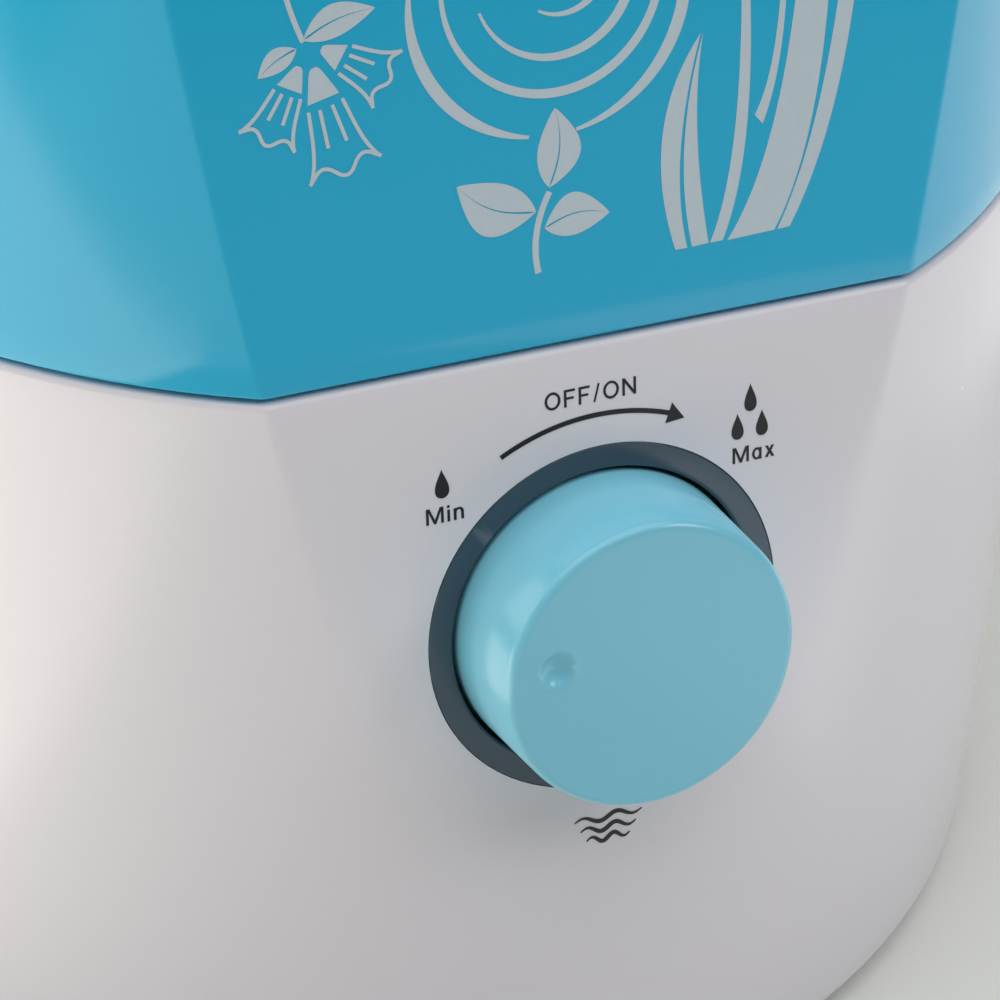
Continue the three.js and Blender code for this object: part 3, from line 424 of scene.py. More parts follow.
# %% Put the finishes on the parts
finishes = {
    "white_housing": white_housing,
    "blue_tank": tank_blue,
    "pale_blue_knob": knob_blue,
    "smoked_ring": lens_smoke,
    "grey_plastic": grey_plastic,
    "black_plastic": black_plastic,
    "rubber": rubber,
    "float_plastic": float_plastic,
    "circuit_board": circuit_board,
    "steel": steel,
    "brass": brass,
    "aluminium": aluminium,
}
slot_of = {part["node"]: part["material_slot"] for part in frame["record"]["subparts"]}
body_of = {node: body for body, members in frame["record"]["behaviour"]["bodies"].items() for node in members}
for name, part in nodes.items():
    part.data.materials.clear()
    part.data.materials.append(finishes[slot_of[name]])
print("parts given a finish:", len(slot_of))

# %% [markdown]
# ## Tools for making shells
# Two kinds of shape cover nearly everything here. Caps, tubes, feet and the knob are round, so a profile is
# turned about an axis. The base, the tank and the decks follow the body's outline, a circle with one flat
# side, so they are made as stacked rings of points. In both, sharp corners are rounded before the surface
# is made.


# %% Turn a list of faces into a finished piece
SHARP_ANGLE = 38


def finish_piece(name, points, faces, stands_for, sharp=SHARP_ANGLE):
    """Makes a smooth-shaded mesh that rides on the body of the node it stands for and takes its finish."""
    mesh = bpy.data.meshes.new(name)
    mesh.from_pydata([tuple(p) for p in points], [], faces)
    made = bpy.data.objects.new(name, mesh)
    bpy.context.scene.collection.objects.link(made)
    tidy(made, sharp)
    return dress(made, stands_for)


def tidy(piece, sharp=SHARP_ANGLE):
    """Merges double points, turns all faces outwards and keeps edges sharper than the angle crisp."""
    work = bmesh.new()
    work.from_mesh(piece.data)
    bmesh.ops.remove_doubles(work, verts=work.verts, dist=1e-6)
    bmesh.ops.dissolve_degenerate(work, edges=work.edges, dist=1e-6)
    bmesh.ops.recalc_face_normals(work, faces=work.faces)
    work.to_mesh(piece.data)
    work.free()
    piece.data.shade_smooth()
    piece.data.set_sharp_from_angle(angle=math.radians(sharp))


def dress(piece, node):
    """Lets the piece stand for a node: the node's body, slot and finish."""
    piece.data.materials.clear()
    piece.data.materials.append(finishes[slot_of[node]])
    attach(piece, body_of[node])
    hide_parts(node)
    return piece


# %% Round the corners of a profile
def rounded(profile, radius, steps=4):
    """Replaces each corner of a closed [radius, height] profile, in millimetres, by a short arc."""
    made = []
    count = len(profile)
    for i, corner in enumerate(profile):
        before, here, after = (Vector(profile[(i + k) % count][:2]) for k in (-1, 0, 1))
        size = corner[2] if len(corner) > 2 else radius
        to_before, to_after = before - here, after - here
        reach = min(size, to_before.length * 0.45, to_after.length * 0.45)
        if here.x < 1e-6 or reach < 0.01:
            made.append(tuple(here))
            continue
        start = here + to_before.normalized() * reach
        end = here + to_after.normalized() * reach
        for k in range(steps + 1):
            t = k / steps
            point = start * (1 - t) ** 2 + here * 2 * t * (1 - t) + end * t * t
            made.append(tuple(point))
    return made


# %% Turn a profile about an axis
def turned(profile, count=96, place=None):
    """Points and faces of a closed profile turned about local Z, then moved by a matrix."""
    place = place or Matrix.Identity(4)
    points, rows = [], []
    for radius, height in profile:
        if radius < 1e-6:
            rows.append([len(points)] * count)
            points.append(place @ Vector((0, 0, height * MM)))
            continue
        first = len(points)
        rows.append(list(range(first, first + count)))
        for k in range(count):
            angle = 2 * math.pi * k / count
            ring_point = Vector((radius * math.cos(angle), radius * math.sin(angle), height)) * MM
            points.append(place @ ring_point)
    return points, bands(rows)


def bands(rows, closed=True):
    """Faces between each row of point numbers and the next one, and from the last back to the first."""
    faces = []
    pairs = list(zip(rows, rows[1:] + rows[:1])) if closed else list(zip(rows, rows[1:]))
    for low, high in pairs:
        count = len(low)
        for k in range(count):
            ring_face = [low[k], low[(k + 1) % count], high[(k + 1) % count], high[k]]
            face = [n for i, n in enumerate(ring_face) if n != ring_face[i - 1]]
            if len(set(face)) > 2:
                faces.append(face)
    return faces


def at(x=0.0, y=0.0, z=0.0):
    return Matrix.Translation(Vector((x, y, z)) * MM)


def box_middle(low, high):
    """Where a box is centred, seen from above, in millimetres."""
    return (low.x + high.x) / 2 / MM, (low.y + high.y) / 2 / MM


def on_circle(radius, angle):
    return radius * math.cos(angle), radius * math.sin(angle)


dial_place = Matrix.Translation(dial_centre) @ Matrix((across, dial_up, dial_out)).transposed().to_4x4()
print("shell tools ready")


# %% [markdown]
# ### Rings that follow the body's outline
# At each height the outline is the nearer of the circle and the flat front. Taking the plain minimum would
# leave a knife edge where they meet, so the two are melted together over a short distance instead: a little
# on the tank, whose edge is crisp, and more and more towards the foot of the base, where the flat fades
# into the round. The columns of points follow the crease, so that it stays clean from top to bottom.


# %% Make one ring of the outline
FACE_COLUMNS, CREASE_COLUMNS, BACK_COLUMNS = 28, 10, 60


def melted(circle, flat, softness):
    """The nearer of two distances, with a soft turn where they are nearly the same."""
    close = max(softness - abs(circle - flat), 0) / softness
    return min(circle, flat) - close * close * softness / 4


def outline_ring(round_at, softness_at, z, inset=0.0, front_inset=None):
    """Points of the outline at a height, moved in by an inset, listed once round from the back."""
    front_inset = inset if front_inset is None else front_inset
    circle = round_at(z) - inset
    flat = front_distance(z) - front_inset / dial_up.z
    softness = softness_at(z)
    crease = math.acos(min(max(flat / circle, -1), 1))
    crease = max(crease, math.radians(9))
    spread = max(math.radians(0.5), 0.75 * softness / (flat * math.tan(crease) / math.cos(crease)))
    spread = min(spread, crease * 0.45)
    half = list(np.linspace(0, crease - spread, FACE_COLUMNS, endpoint=False))
    half += list(np.linspace(crease - spread, crease + spread, CREASE_COLUMNS, endpoint=False))
    half += list(np.linspace(crease + spread, math.pi, BACK_COLUMNS))
    angles = [-a for a in reversed(half)] + half[1:-1]
    ring_points = []
    for angle in angles:
        to_flat = flat / math.cos(angle) if math.cos(angle) > 0.05 else 10.0
        radius = melted(circle, to_flat, softness)
        ring_points.append(Vector((radius * math.sin(angle), -radius * math.cos(angle), z)))
    return ring_points


def base_softness(z):
    return (0.35 + 1.5 * fade(0, 1, (base_top - 4 * MM - z) / (42 * MM))) * MM


def tank_softness(z):
    return 0.32 * MM


def circle_ring(radius, z, centre=(0, 0)):
    """A ring of as many points as an outline, about any centre, for joining to outlines."""
    ring_points = []
    for p in outline_ring(base_round, base_softness, base_top - 5 * MM):
        angle = math.atan2(p.x, -p.y)
        x = centre[0] + radius * math.sin(angle)
        y = centre[1] - radius * math.cos(angle)
        ring_points.append(Vector((x, y, z)))
    return ring_points


def stack(rings):
    """Points and faces of a closed loop of rings."""
    count = len(rings[0])
    points = [p for ring_points in rings for p in ring_points]
    rows = [list(range(i * count, (i + 1) * count)) for i in range(len(rings))]
    return points, bands(rows)


def arc(steps):
    """Pairs of (sine, cosine) along a quarter turn, for rounded edges."""
    angles = [math.radians(90 * k / steps) for k in range(steps + 1)]
    return [(math.sin(a), math.cos(a)) for a in angles]


print("points in one ring:", len(outline_ring(base_round, base_softness, 0.1)))


# %% Cut and join with exact booleans
def combine(piece, other_points, other_faces, operation):
    """Cuts or joins a closed shape and leaves the result on the piece."""
    mesh = bpy.data.meshes.new("tool")
    mesh.from_pydata([tuple(p) for p in other_points], [], other_faces)
    tool = bpy.data.objects.new("tool", mesh)
    bpy.context.scene.collection.objects.link(tool)
    tidy(tool)
    step = piece.modifiers.new("step", "BOOLEAN")
    step.operation = operation
    step.solver = "EXACT"
    step.object = tool
    result = bpy.data.meshes.new_from_object(piece.evaluated_get(bpy.context.evaluated_depsgraph_get()))
    piece.modifiers.clear()
    old = piece.data
    piece.data = result
    bpy.data.meshes.remove(old)
    bpy.data.objects.remove(tool)
    bpy.data.meshes.remove(mesh)
    tidy(piece)
    return piece


def rod(radius, low, high, count=96, place=None):
    return turned([(0, low), (radius, low), (radius, high), (0, high)], count, place)


def prism(outline, low, high):
    """Points and faces of a flat outline, in millimetres, raised from low to high."""
    count = len(outline)
    points = [Vector((x, y, z)) * MM for z in (low, high) for x, y in outline]
    faces = [[k, (k + 1) % count, count + (k + 1) % count, count + k] for k in range(count)]
    return points, faces + [list(range(count))[::-1], list(range(count, 2 * count))]


print("boolean tools ready")

# %% [markdown]
# ## The white base
# One moulding: a round wall with a flat leaning front, a rolled top edge, a rounded foot and a round well
# for the dial. Inside it has a ledge for the deck, a thick rim for the bottom cover and four screw bosses.
# The rings run up the outside, over the lip, down the inside past the ledge and back under the foot.

# %% Stack the rings of the base
WALL = 2.5 * MM
FOOT_EDGE = 4 * MM
LIP = 0.9 * MM
LEDGE = 3 * MM
RIM = 5.6 * MM


def base_ring(z, inset=0.0):
    return outline_ring(base_round, base_softness, z, inset)


rings = [base_ring(base_bottom + FOOT_EDGE * (1 - c), FOOT_EDGE * (1 - s)) for s, c in arc(7)]
for z in np.linspace(base_bottom + FOOT_EDGE, base_top - LIP, 46)[1:-1]:
    rings.append(base_ring(float(z)))
rings += [base_ring(base_top - LIP * (1 - s), LIP * (1 - c)) for s, c in arc(7)]
seal_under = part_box("deck_seal")[0].z
ledge_top = seal_under - GAP * MM
rim_top = 7.5 * MM
rings += [
    base_ring(base_top - 0.3 * MM, WALL - 0.1 * MM),
    base_ring(base_top - 0.8 * MM, WALL),
    base_ring(ledge_top, WALL),
    base_ring(ledge_top, WALL + LEDGE),
    base_ring(ledge_top - LEDGE, WALL + LEDGE),
    base_ring(ledge_top - 2 * LEDGE, WALL),
]
for z in np.linspace(ledge_top - 10 * MM, rim_top, 12):
    rings.append(base_ring(float(z), WALL))
rings.append(circle_ring(base_radius - RIM, rim_top))
rings.append(circle_ring(base_radius - RIM, base_bottom))
base = finish_piece("base_shell_formed", *stack(rings), "base_shell")
print("base faces before the well:", len(base.data.polygons))

# %% [markdown]
# The well is a shallow cup behind the front. The hole is cut first, then the cup is joined on, then the
# small hole for the control's threaded neck is drilled through its floor. The hole at the back takes the
# cord gland. Four bosses inside the wall take the screws of the bottom cover.

# %% Sink the well for the dial and drill the holes
ring_outer = 22.2
well_radius = ring_outer + GAP
well_depth = 9.2
well_wall = 2.5
control_hole, gland_hole, screw_hole = 4.8, 6.3, 1.9
boss_low, boss_high, boss_radius = 4.8, 24.8, 4.5
base = combine(base, *rod(well_radius, -3.6, 3, 128, dial_place), "DIFFERENCE")
cup = [
    (well_radius, -0.6),
    (well_radius, -well_depth),
    (0, -well_depth),
    (0, -well_depth - well_wall),
    (well_radius + well_wall, -well_depth - well_wall, 1.5),
    (well_radius + well_wall, -0.6),
]
base = combine(base, *turned(rounded(cup, 0.4), 128, dial_place), "UNION")
base = combine(base, *rod(control_hole, -14, 0, 48, dial_place), "DIFFERENCE")
gland_low, gland_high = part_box("cord_gland")
gland_height = (gland_low.z + gland_high.z) / 2
backwards = Matrix.Rotation(-math.pi / 2, 4, "X")
gland_drill = Matrix.Translation((0, base_radius - 20 * MM, gland_height)) @ backwards
base = combine(base, *rod(gland_hole, 0, 40, 64, gland_drill), "DIFFERENCE")
corner_angles = [math.pi / 4 + k * math.pi / 2 for k in range(4)]
boss_circle = base_radius - 9.6 * MM
boss = [(screw_hole, boss_low), (boss_radius, boss_low), (boss_radius, boss_high), (screw_hole, boss_high)]
for angle in corner_angles:
    boss_place = Matrix.Translation((*on_circle(boss_circle, angle), 0))
    base = combine(base, *turned(rounded(boss, 0.4), 32, boss_place), "UNION")
print("base faces:", len(base.data.polygons))

# %% [markdown]
# ## The turquoise tank
# The tank continues the same flat front and round sides, tapering upwards to a rounded shoulder. Its top
# has a round dish with a hole for the mist. The wall is one thickness all round, so the same rings, moved
# inwards, make the inside. Where the flat front meets the top, the edge is rounded over too.

# %% Stack the rings of the tank
TANK_WALL = 2.2 * MM
SHOULDER = 20 * MM
FRONT_EDGE = 5 * MM
DISH_RADIUS = 34 * MM
DISH_LIP = 1.2 * MM
DISH_CORNER = 1.5 * MM
dish_floor = tank_top - 6 * MM


def edge_pull(distance, radius):
    """How far a rounded edge draws in at a distance below its top."""
    if distance >= radius:
        return 0.0
    return radius - math.sqrt(max(radius * radius - (radius - distance) ** 2, 0))


def tank_ring(z, wall=0.0):
    down = tank_top - wall - z
    side_pull = edge_pull(down, SHOULDER - wall)
    front_pull = edge_pull(down, max(FRONT_EDGE - wall, 0.5 * MM))
    return outline_ring(tank_round, tank_softness, z, wall + side_pull, wall + front_pull)


def melt(first, second, share, z):
    """A ring between two others, at a height of its own."""
    return [Vector((a.x + (b.x - a.x) * share, a.y + (b.y - a.y) * share, z)) for a, b in zip(first, second)]


BOTTOM_EDGE = 0.5 * MM
rings = []
for s, c in arc(3):
    z = tank_bottom + BOTTOM_EDGE * (1 - c)
    rings.append(outline_ring(tank_round, tank_softness, z, BOTTOM_EDGE * (1 - s)))
for z in np.linspace(tank_bottom + BOTTOM_EDGE, tank_top - SHOULDER, 40)[1:]:
    rings.append(tank_ring(float(z)))
for s, c in arc(22)[1:]:
    rings.append(tank_ring(tank_top - SHOULDER * (1 - s)))
rim = rings[-1]
lip = circle_ring(DISH_RADIUS + DISH_LIP, tank_top)
rings += [melt(rim, lip, t, tank_top) for t in (0.2, 0.5, 0.8, 1)]
for s, c in arc(4)[1:]:
    rings.append(circle_ring(DISH_RADIUS + DISH_LIP * (1 - s), tank_top - DISH_LIP * (1 - c)))
for s, c in arc(4):
    rings.append(circle_ring(DISH_RADIUS - DISH_CORNER * (1 - c), dish_floor + DISH_CORNER * (1 - s)))
tube_hole = 13.3 * MM
rings.append(circle_ring(tube_hole + 0.3 * MM, dish_floor))
rings.append(circle_ring(tube_hole, dish_floor - 0.3 * MM))
under_dish = dish_floor - TANK_WALL
inner_rim = tank_ring(tank_top - TANK_WALL, TANK_WALL)
rings += [
    circle_ring(tube_hole, under_dish),
    circle_ring(DISH_RADIUS + TANK_WALL, under_dish),
    circle_ring(DISH_RADIUS + TANK_WALL, tank_top - TANK_WALL),
    inner_rim,
]
for s, c in reversed(arc(12)[1:-1]):
    rings.append(tank_ring(tank_top - TANK_WALL - (SHOULDER - TANK_WALL) * (1 - s), TANK_WALL))
for z in np.linspace(tank_top - SHOULDER, tank_bottom, 20):
    rings.append(outline_ring(tank_round, tank_softness, float(z), TANK_WALL))
tank = finish_piece("tank_shell_formed", *stack(rings), "tank_shell")
print("tank faces:", len(tank.data.polygons))

# %% [markdown]
# ## The dial
# The knob is a hollow cup with a slight draft, a small bright fillet round its flat face and a shallow
# thumb dimple that points at the setting. The face is turned as many fine rings, so that the dimple can be
# pressed into it with a soft rim instead of being cut.


# %% Turn the knob and press the dimple
DIMPLE_RADIUS, DIMPLE_DEPTH, DIMPLE_REACH = 2.15, 0.85, 12.4
KNOB_FACE = 13.8
FACE_RADIUS = 17.05


def knob_profile():
    side = [(18.85, -2.0), (18.85, -1.6), (18.25, 12.6)]
    fillet = [(FACE_RADIUS + 1.15 * s, 12.65 + 1.15 * c) for s, c in reversed(arc(7))]
    face_radii = np.linspace(FACE_RADIUS, DIMPLE_REACH - 3, 44)[1:]
    face = [(float(r), KNOB_FACE) for r in face_radii] + [(0, KNOB_FACE)]
    inside = [(0, 9.8), (3.3, 9.8), (3.3, -4.7), (5.5, -4.7), (5.5, 11.8), (16.2, 11.8), (16.85, -2.0)]
    return side + fillet + face + inside


def dimple_depth(away):
    """A shallow bowl with a slightly raised lip, in millimetres, at a distance from its middle."""
    bowl = DIMPLE_DEPTH * max(1 - (away / DIMPLE_RADIUS) ** 2, 0)
    return bowl - 0.07 * math.exp(-(((away - DIMPLE_RADIUS - 0.25) / 0.28) ** 2))


points, faces = turned(knob_profile(), 288)
pointer = math.radians(168)
dimple = Vector((DIMPLE_REACH * math.cos(pointer), DIMPLE_REACH * math.sin(pointer), KNOB_FACE)) * MM
pressed = []
for p in points:
    away = (p - dimple).length / MM
    if p.z > (KNOB_FACE - 0.1) * MM and away < 3:
        p = Vector((p.x, p.y, p.z - dimple_depth(away) * MM))
    pressed.append(dial_place @ p)
knob = finish_piece("knob_formed", pressed, faces, "knob", sharp=45)
print("knob faces:", len(knob.data.polygons))

# %% [markdown]
# The smoked ring is the lens of the light ring round the knob. Its face is flush with the white front, with
# a fine rounded edge outside and a softer one inside, and a sleeve runs down into the well.

# %% Turn the smoked ring
lens_profile = [
    (19.35, 0, 0.5),
    (19.35, -3),
    (20.7, -3),
    (20.7, -7.0),
    (ring_outer, -7.0),
    (ring_outer, -3.0),
    (ring_outer + 0.2, -2.6),
    (ring_outer + 0.2, 0, 0.2),
]
lens = finish_piece("dial_ring_formed", *turned(rounded(lens_profile, 0.3, 6), 192, dial_place), "dial_ring")
print("ring faces:", len(lens.data.polygons))

# %% [markdown]
# ## Markings by the dial
# The markings are printed in near-black ink: a curved arrow that says which way to turn, one drop for the
# least mist, three for the most, and plain control words. Each is a thin closed sheet with its own outline,
# laid just proud of the surface. A small mark of three waves stands below the dial.


# %% Lay flat artwork on the leaning front
PRINT_LIFT = 0.03


def front_depth(x, up, round_at, softness_at):
    """How far the real surface lies behind the flat front's plane, at a place on that plane."""
    point = dial_centre + across * x + dial_up * up
    to_flat = math.hypot(x, front_distance(point.z))
    return to_flat - melted(round_at(point.z), to_flat, softness_at(point.z))


def lay_on_front(name, curve, ink, body, surface, lift=PRINT_LIFT):
    """Turns a filled flat curve, drawn in millimetres, into a thin closed sheet on the surface."""
    holder = bpy.data.objects.new("artwork", curve)
    bpy.context.scene.collection.objects.link(holder)
    bpy.context.view_layer.update()
    mesh = bpy.data.meshes.new_from_object(holder.evaluated_get(bpy.context.evaluated_depsgraph_get()))
    bpy.data.objects.remove(holder)
    for vertex in mesh.vertices:
        x, up, level = vertex.co.x * MM, vertex.co.y * MM, vertex.co.z * MM
        depth = front_depth(x, up, *surface)
        vertex.co = dial_centre + across * x + dial_up * up + dial_out * (level - depth + lift * MM)
    piece = bpy.data.objects.new(name, mesh)
    bpy.context.scene.collection.objects.link(piece)
    tidy(piece)
    piece.data.materials.clear()
    piece.data.materials.append(ink)
    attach(piece, body)
    return piece


def flat_curve(outlines, thickness=0.06):
    """A filled curve of closed outlines, each a list of (x, up) points in millimetres."""
    curve = bpy.data.curves.new("outline", "CURVE")
    curve.dimensions = "2D"
    curve.fill_mode = "BOTH"
    curve.extrude = thickness / 2
    for outline in outlines:
        spline = curve.splines.new("POLY")
        spline.points.add(len(outline) - 1)
        for point, (x, up) in zip(spline.points, outline):
            point.co = (x, up, 0, 1)
        spline.use_cyclic_u = True
    return curve


base_surface = (base_round, base_softness)
tank_surface = (tank_round, tank_softness)


def printed_ink(name, tone, roughness):
    """Ink: nearly even, with a slightly mottled gloss and tiny pinholes."""
    recipe = Recipe(name)
    mottle = recipe.noise(700, 4, 0.7)
    body = recipe.blend(mottle, shade(tone, 0.94), shade(tone, 1.06))
    recipe.link(body, recipe.shader.inputs["Base Color"])
    recipe.link(recipe.spread(mottle, roughness * 0.85, roughness * 1.2), recipe.shader.inputs["Roughness"])
    recipe.bump((mottle, 0.004 * MM))
    return recipe.material


dark_ink = printed_ink("dark_ink", colour(8, 8, 14), 0.4)
pale_ink = printed_ink("pale_ink", colour(196, 210, 218), 0.36)
print("inks ready")


# %% Draw the drops, the arrow and the waves
def drop(x, up, height, width):
    """A water drop: a round belly with its point at the top."""
    outline = []
    for k in range(48):
        a = 2 * math.pi * k / 48
        narrow = math.sin(a / 2) ** 1.55
        outline.append((x + width / 2 * math.sin(a) * narrow * 1.12, up + height / 2 * math.cos(a)))
    return outline


def band(path, width):
    """A strip of even or changing width along a path of (x, up) points."""
    left, right = [], []
    count = len(path)
    for k, (x, up) in enumerate(path):
        before, after = path[max(k - 1, 0)], path[min(k + 1, count - 1)]
        run = Vector((after[0] - before[0], after[1] - before[1])).normalized()
        half = (width(k / (count - 1)) if callable(width) else width) / 2
        left.append((x - run.y * half, up + run.x * half))
        right.append((x + run.y * half, up - run.x * half))
    return left + right[::-1]


def swelling(width):
    """A width for a band: full in the middle and a quarter of that at the ends."""
    return lambda t: width * (0.25 + 0.75 * math.sin(math.pi * t))


def round_path(centre, radius, start, end, steps=40):
    angles = [math.radians(start + (end - start) * k / steps) for k in range(steps + 1)]
    return [(centre[0] + radius * math.cos(a), centre[1] + radius * math.sin(a)) for a in angles]


def turn_arrow():
    """An arc over the dial that ends in a solid head pointing clockwise."""
    centre, radius = (-0.4, 0), 26.45
    shaft_start, shaft_end, tip = 117.3, 69.8, 65
    shaft = band(round_path(centre, radius, shaft_start, shaft_end), 0.6)
    base_angle, tip_angle = math.radians(shaft_end), math.radians(tip)
    head = [
        (centre[0] + (radius + 1.3) * math.cos(base_angle), (radius + 1.3) * math.sin(base_angle)),
        (centre[0] + (radius - 0.15) * math.cos(tip_angle), (radius - 0.15) * math.sin(tip_angle)),
        (centre[0] + (radius - 1.3) * math.cos(base_angle), (radius - 1.3) * math.sin(base_angle)),
    ]
    return shaft, head


def wave(x, up, length, swing, width):
    path = [(x + length * (t / 40 - 0.5), up + swing * math.sin(4 * math.pi * t / 40)) for t in range(41)]
    return band(path, swelling(width))


shaft, head = turn_arrow()
markings = {
    "arrow_shaft": [shaft],
    "arrow_head": [head],
    "least_mist_drop": [drop(-19.9, 21.8, 3.6, 2.25)],
    "most_mist_drop_top": [drop(19.35, 24.65, 3.5, 2.05)],
    "most_mist_drop_left": [drop(17.65, 21.2, 3.3, 2.0)],
    "most_mist_drop_right": [drop(20.85, 21.15, 3.3, 2.0)],
    "wave_mark": [wave(0, -27.2 - 1.5 * k, 9 - 1.6 * k, 0.45, 0.62) for k in range(3)],
}
for name, outlines in markings.items():
    lay_on_front(name, flat_curve(outlines), dark_ink, "root", base_surface)
print("markings:", len(markings))


# %% [markdown]
# The control words are set in plain upright letters built here from straight strokes and ellipses. Each
# letter is a list of outlines on a grid whose capitals are 1 high; where an outline lies inside another, it
# cuts a hole.


# %% Build the letters
STEM = 0.135
LOWER = 0.74
LOWER_TOP = LOWER - 0.01


def ellipse(x, up, wide, tall, start=0, end=360, steps=32):
    angles = [math.radians(start + (end - start) * k / steps) for k in range(steps + (end - start < 360))]
    return [(x + wide / 2 * math.cos(a), up + tall / 2 * math.sin(a)) for a in angles]


def box_outline(left, low, right, high):
    return [(left, low), (right, low), (right, high), (left, high)]


def letter_n():
    outer = ellipse(0.28, LOWER - 0.23, 0.5, 0.5, 0, 130, 14)
    inner = ellipse(0.27, LOWER - 0.26, 0.5 - 2 * STEM + 0.02, 0.32, 180, 0, 12)
    left_stem = [(STEM, 0.66), (STEM, LOWER_TOP), (0, LOWER_TOP), (0, 0), (STEM, 0)]
    return [[(0.53, 0)] + outer + left_stem + inner + [(0.53 - STEM, 0)]]


def letter_a():
    bowl = ellipse(0.27, LOWER / 2, 0.54, LOWER + 0.03, -62, -298, 26)
    stem_right = 0.53
    outer = [(stem_right, 0), (stem_right - STEM, 0)] + bowl
    outer += [(stem_right - STEM, LOWER_TOP), (stem_right, LOWER_TOP)]
    return [outer, ellipse(0.265, LOWER / 2, 0.54 - 2 * STEM, LOWER - 2 * STEM + 0.05)]


LETTERS = {
    "O": (0.88, [ellipse(0.44, 0.5, 0.88, 1.03), ellipse(0.44, 0.5, 0.88 - 2 * STEM, 1.03 - 2 * STEM)]),
    "F": (0.62, [[(0, 0), (STEM, 0), (STEM, 0.44), (0.54, 0.44), (0.54, 0.56), (STEM, 0.56), (STEM, 0.87),
                  (0.62, 0.87), (0.62, 1), (0, 1)]]),
    "/": (0.36, [[(0, -0.02), (0.1, -0.02), (0.36, 1.02), (0.26, 1.02)]]),
    "N": (0.77, [[(0, 0), (STEM, 0), (STEM, 0.74), (0.77 - STEM, 0), (0.77, 0), (0.77, 1), (0.77 - STEM, 1),
                  (0.77 - STEM, 0.26), (STEM, 1), (0, 1)]]),
    "M": (0.92, [[(0, 0), (STEM, 0), (STEM, 0.78), (0.4, 0), (0.52, 0), (0.92 - STEM, 0.78), (0.92 - STEM, 0),
                  (0.92, 0), (0.92, 1), (0.73, 1), (0.46, 0.24), (0.19, 1), (0, 1)]]),
    "i": (STEM, [box_outline(0, 0, STEM, LOWER_TOP), box_outline(0, 0.86, STEM, 1)]),
    "n": (0.53, letter_n()),
    "a": (0.53, letter_a()),
    "x": (0.54, [[(0, 0), (0.16, 0), (0.27, 0.24), (0.38, 0), (0.54, 0), (0.35, 0.38), (0.52, LOWER_TOP),
                  (0.37, LOWER_TOP), (0.27, 0.5), (0.17, LOWER_TOP), (0.01, LOWER_TOP), (0.19, 0.38)]]),
}


def words(text, left, right, low, cap, gap=0.2):
    """Outlines of a word whose letters fill the span from left to right, in millimetres on the front."""
    natural = sum(LETTERS[mark][0] for mark in text) + gap * (len(text) - 1)
    stretch = (right - left) / natural
    outlines, x = [], left
    for mark in text:
        width, shapes = LETTERS[mark]
        outlines += [[(x + px * stretch, low + py * cap) for px, py in shape] for shape in shapes]
        x += (width + gap) * stretch
    return outlines


for name, text, *place in (
    ("word_off_on", "OFF/ON", -6.9, 4.6, 28.15, 2.15),
    ("word_min", "Min", -22.0, -17.35, 16.95, 2.0),
    ("word_max", "Max", 17.0, 22.5, 16.5, 2.0),
):
    lay_on_front(name, flat_curve(words(text, *place)), dark_ink, "root", base_surface)
print("words set")

# %% [markdown]
# ## Decoration on the tank
# A pale print fills the flat front of the tank: a tuft of long blades rises from one line at the right,
# ripples spread at the top, a young shoot with three leaves stands in the middle and a sprig of bellflowers
# hangs at the left. It is a plain design of its own. Each stroke is a bent line with a width that swells
# and tapers.


# %% Draw blades, leaves and ripples
def bend(foot, middle, tip, t):
    """A point on a smooth curve from foot to tip, pulled towards a middle point."""
    return tuple(a * (1 - t) ** 2 + b * 2 * t * (1 - t) + c * t * t for a, b, c in zip(foot, middle, tip))


def blade(foot_left, foot_right, left_pull, right_pull, tip, steps=30):
    """A long leaf with a foot cut along the ground line and two bent sides that meet at the tip."""
    left = [bend(foot_left, left_pull, tip, k / steps) for k in range(steps + 1)]
    right = [bend(foot_right, right_pull, tip, k / steps) for k in range(steps)]
    return left + right[::-1]


def leaf(stalk, angle, length, width, bow=0.0, vein=0.14, steps=26):
    """A pointed leaf in two halves, with the bare line of its midrib between them."""
    a = math.radians(angle)
    run, side = Vector((math.cos(a), math.sin(a))), Vector((-math.sin(a), math.cos(a)))
    halves = []
    for hand in (1, -1):
        outer, inner = [], []
        for k in range(steps + 1):
            t = k / steps
            middle = Vector(stalk) + run * (length * t) + side * bow * math.sin(math.pi * t)
            swell = width / 2 * math.sin(math.pi * t) ** 0.85 * (1.2 - 0.4 * t)
            slit = vein * (1 - t) * fade(0.0, 0.08, t)
            outer.append(tuple(middle + side * hand * max(swell, slit)))
            inner.append(tuple(middle + side * hand * slit))
        halves.append(outer + inner[-2:0:-1])
    return halves


def bellflower(top, angle, length, width, line=0.42):
    """A hanging bell drawn in outline: a solid cap, a flared cup and three turned-out points."""
    a = math.radians(angle)
    run, side = Vector((math.cos(a), math.sin(a))), Vector((-math.sin(a), math.cos(a)))

    def at_place(along, across_share):
        return tuple(Vector(top) + run * (length * along) + side * (width / 2 * across_share))

    def flare(t):
        return 0.32 + 0.34 * math.sin(math.pi * t * 0.62) + 0.5 * t ** 5

    def cap_side(hand):
        shares = [k / 10 for k in range(11)]
        return [at_place(t * 0.3, hand * flare(t * 0.3) * (0.3 + 0.7 * t ** 0.5)) for t in shares]

    cap = cap_side(1) + cap_side(-1)[::-1]
    cup = []
    for hand in (1, -1):
        cup.append([at_place(0.36 + 0.64 * t / 14, hand * flare(0.36 + 0.64 * t / 14)) for t in range(15)])
    mouth_points = ((1, 1.16), (0.86, 0.6), (1.1, 0.02), (0.86, -0.6), (1, -1.16))
    mouth = [at_place(along, share) for along, share in mouth_points]
    ribs = [[at_place(0.38, h * 0.2), at_place(0.6, h * 0.26), at_place(0.74, h * 0.3)] for h in (1, -1)]
    return [cap] + [band(path, line) for path in cup + ribs] + [band(smooth(mouth), line)]


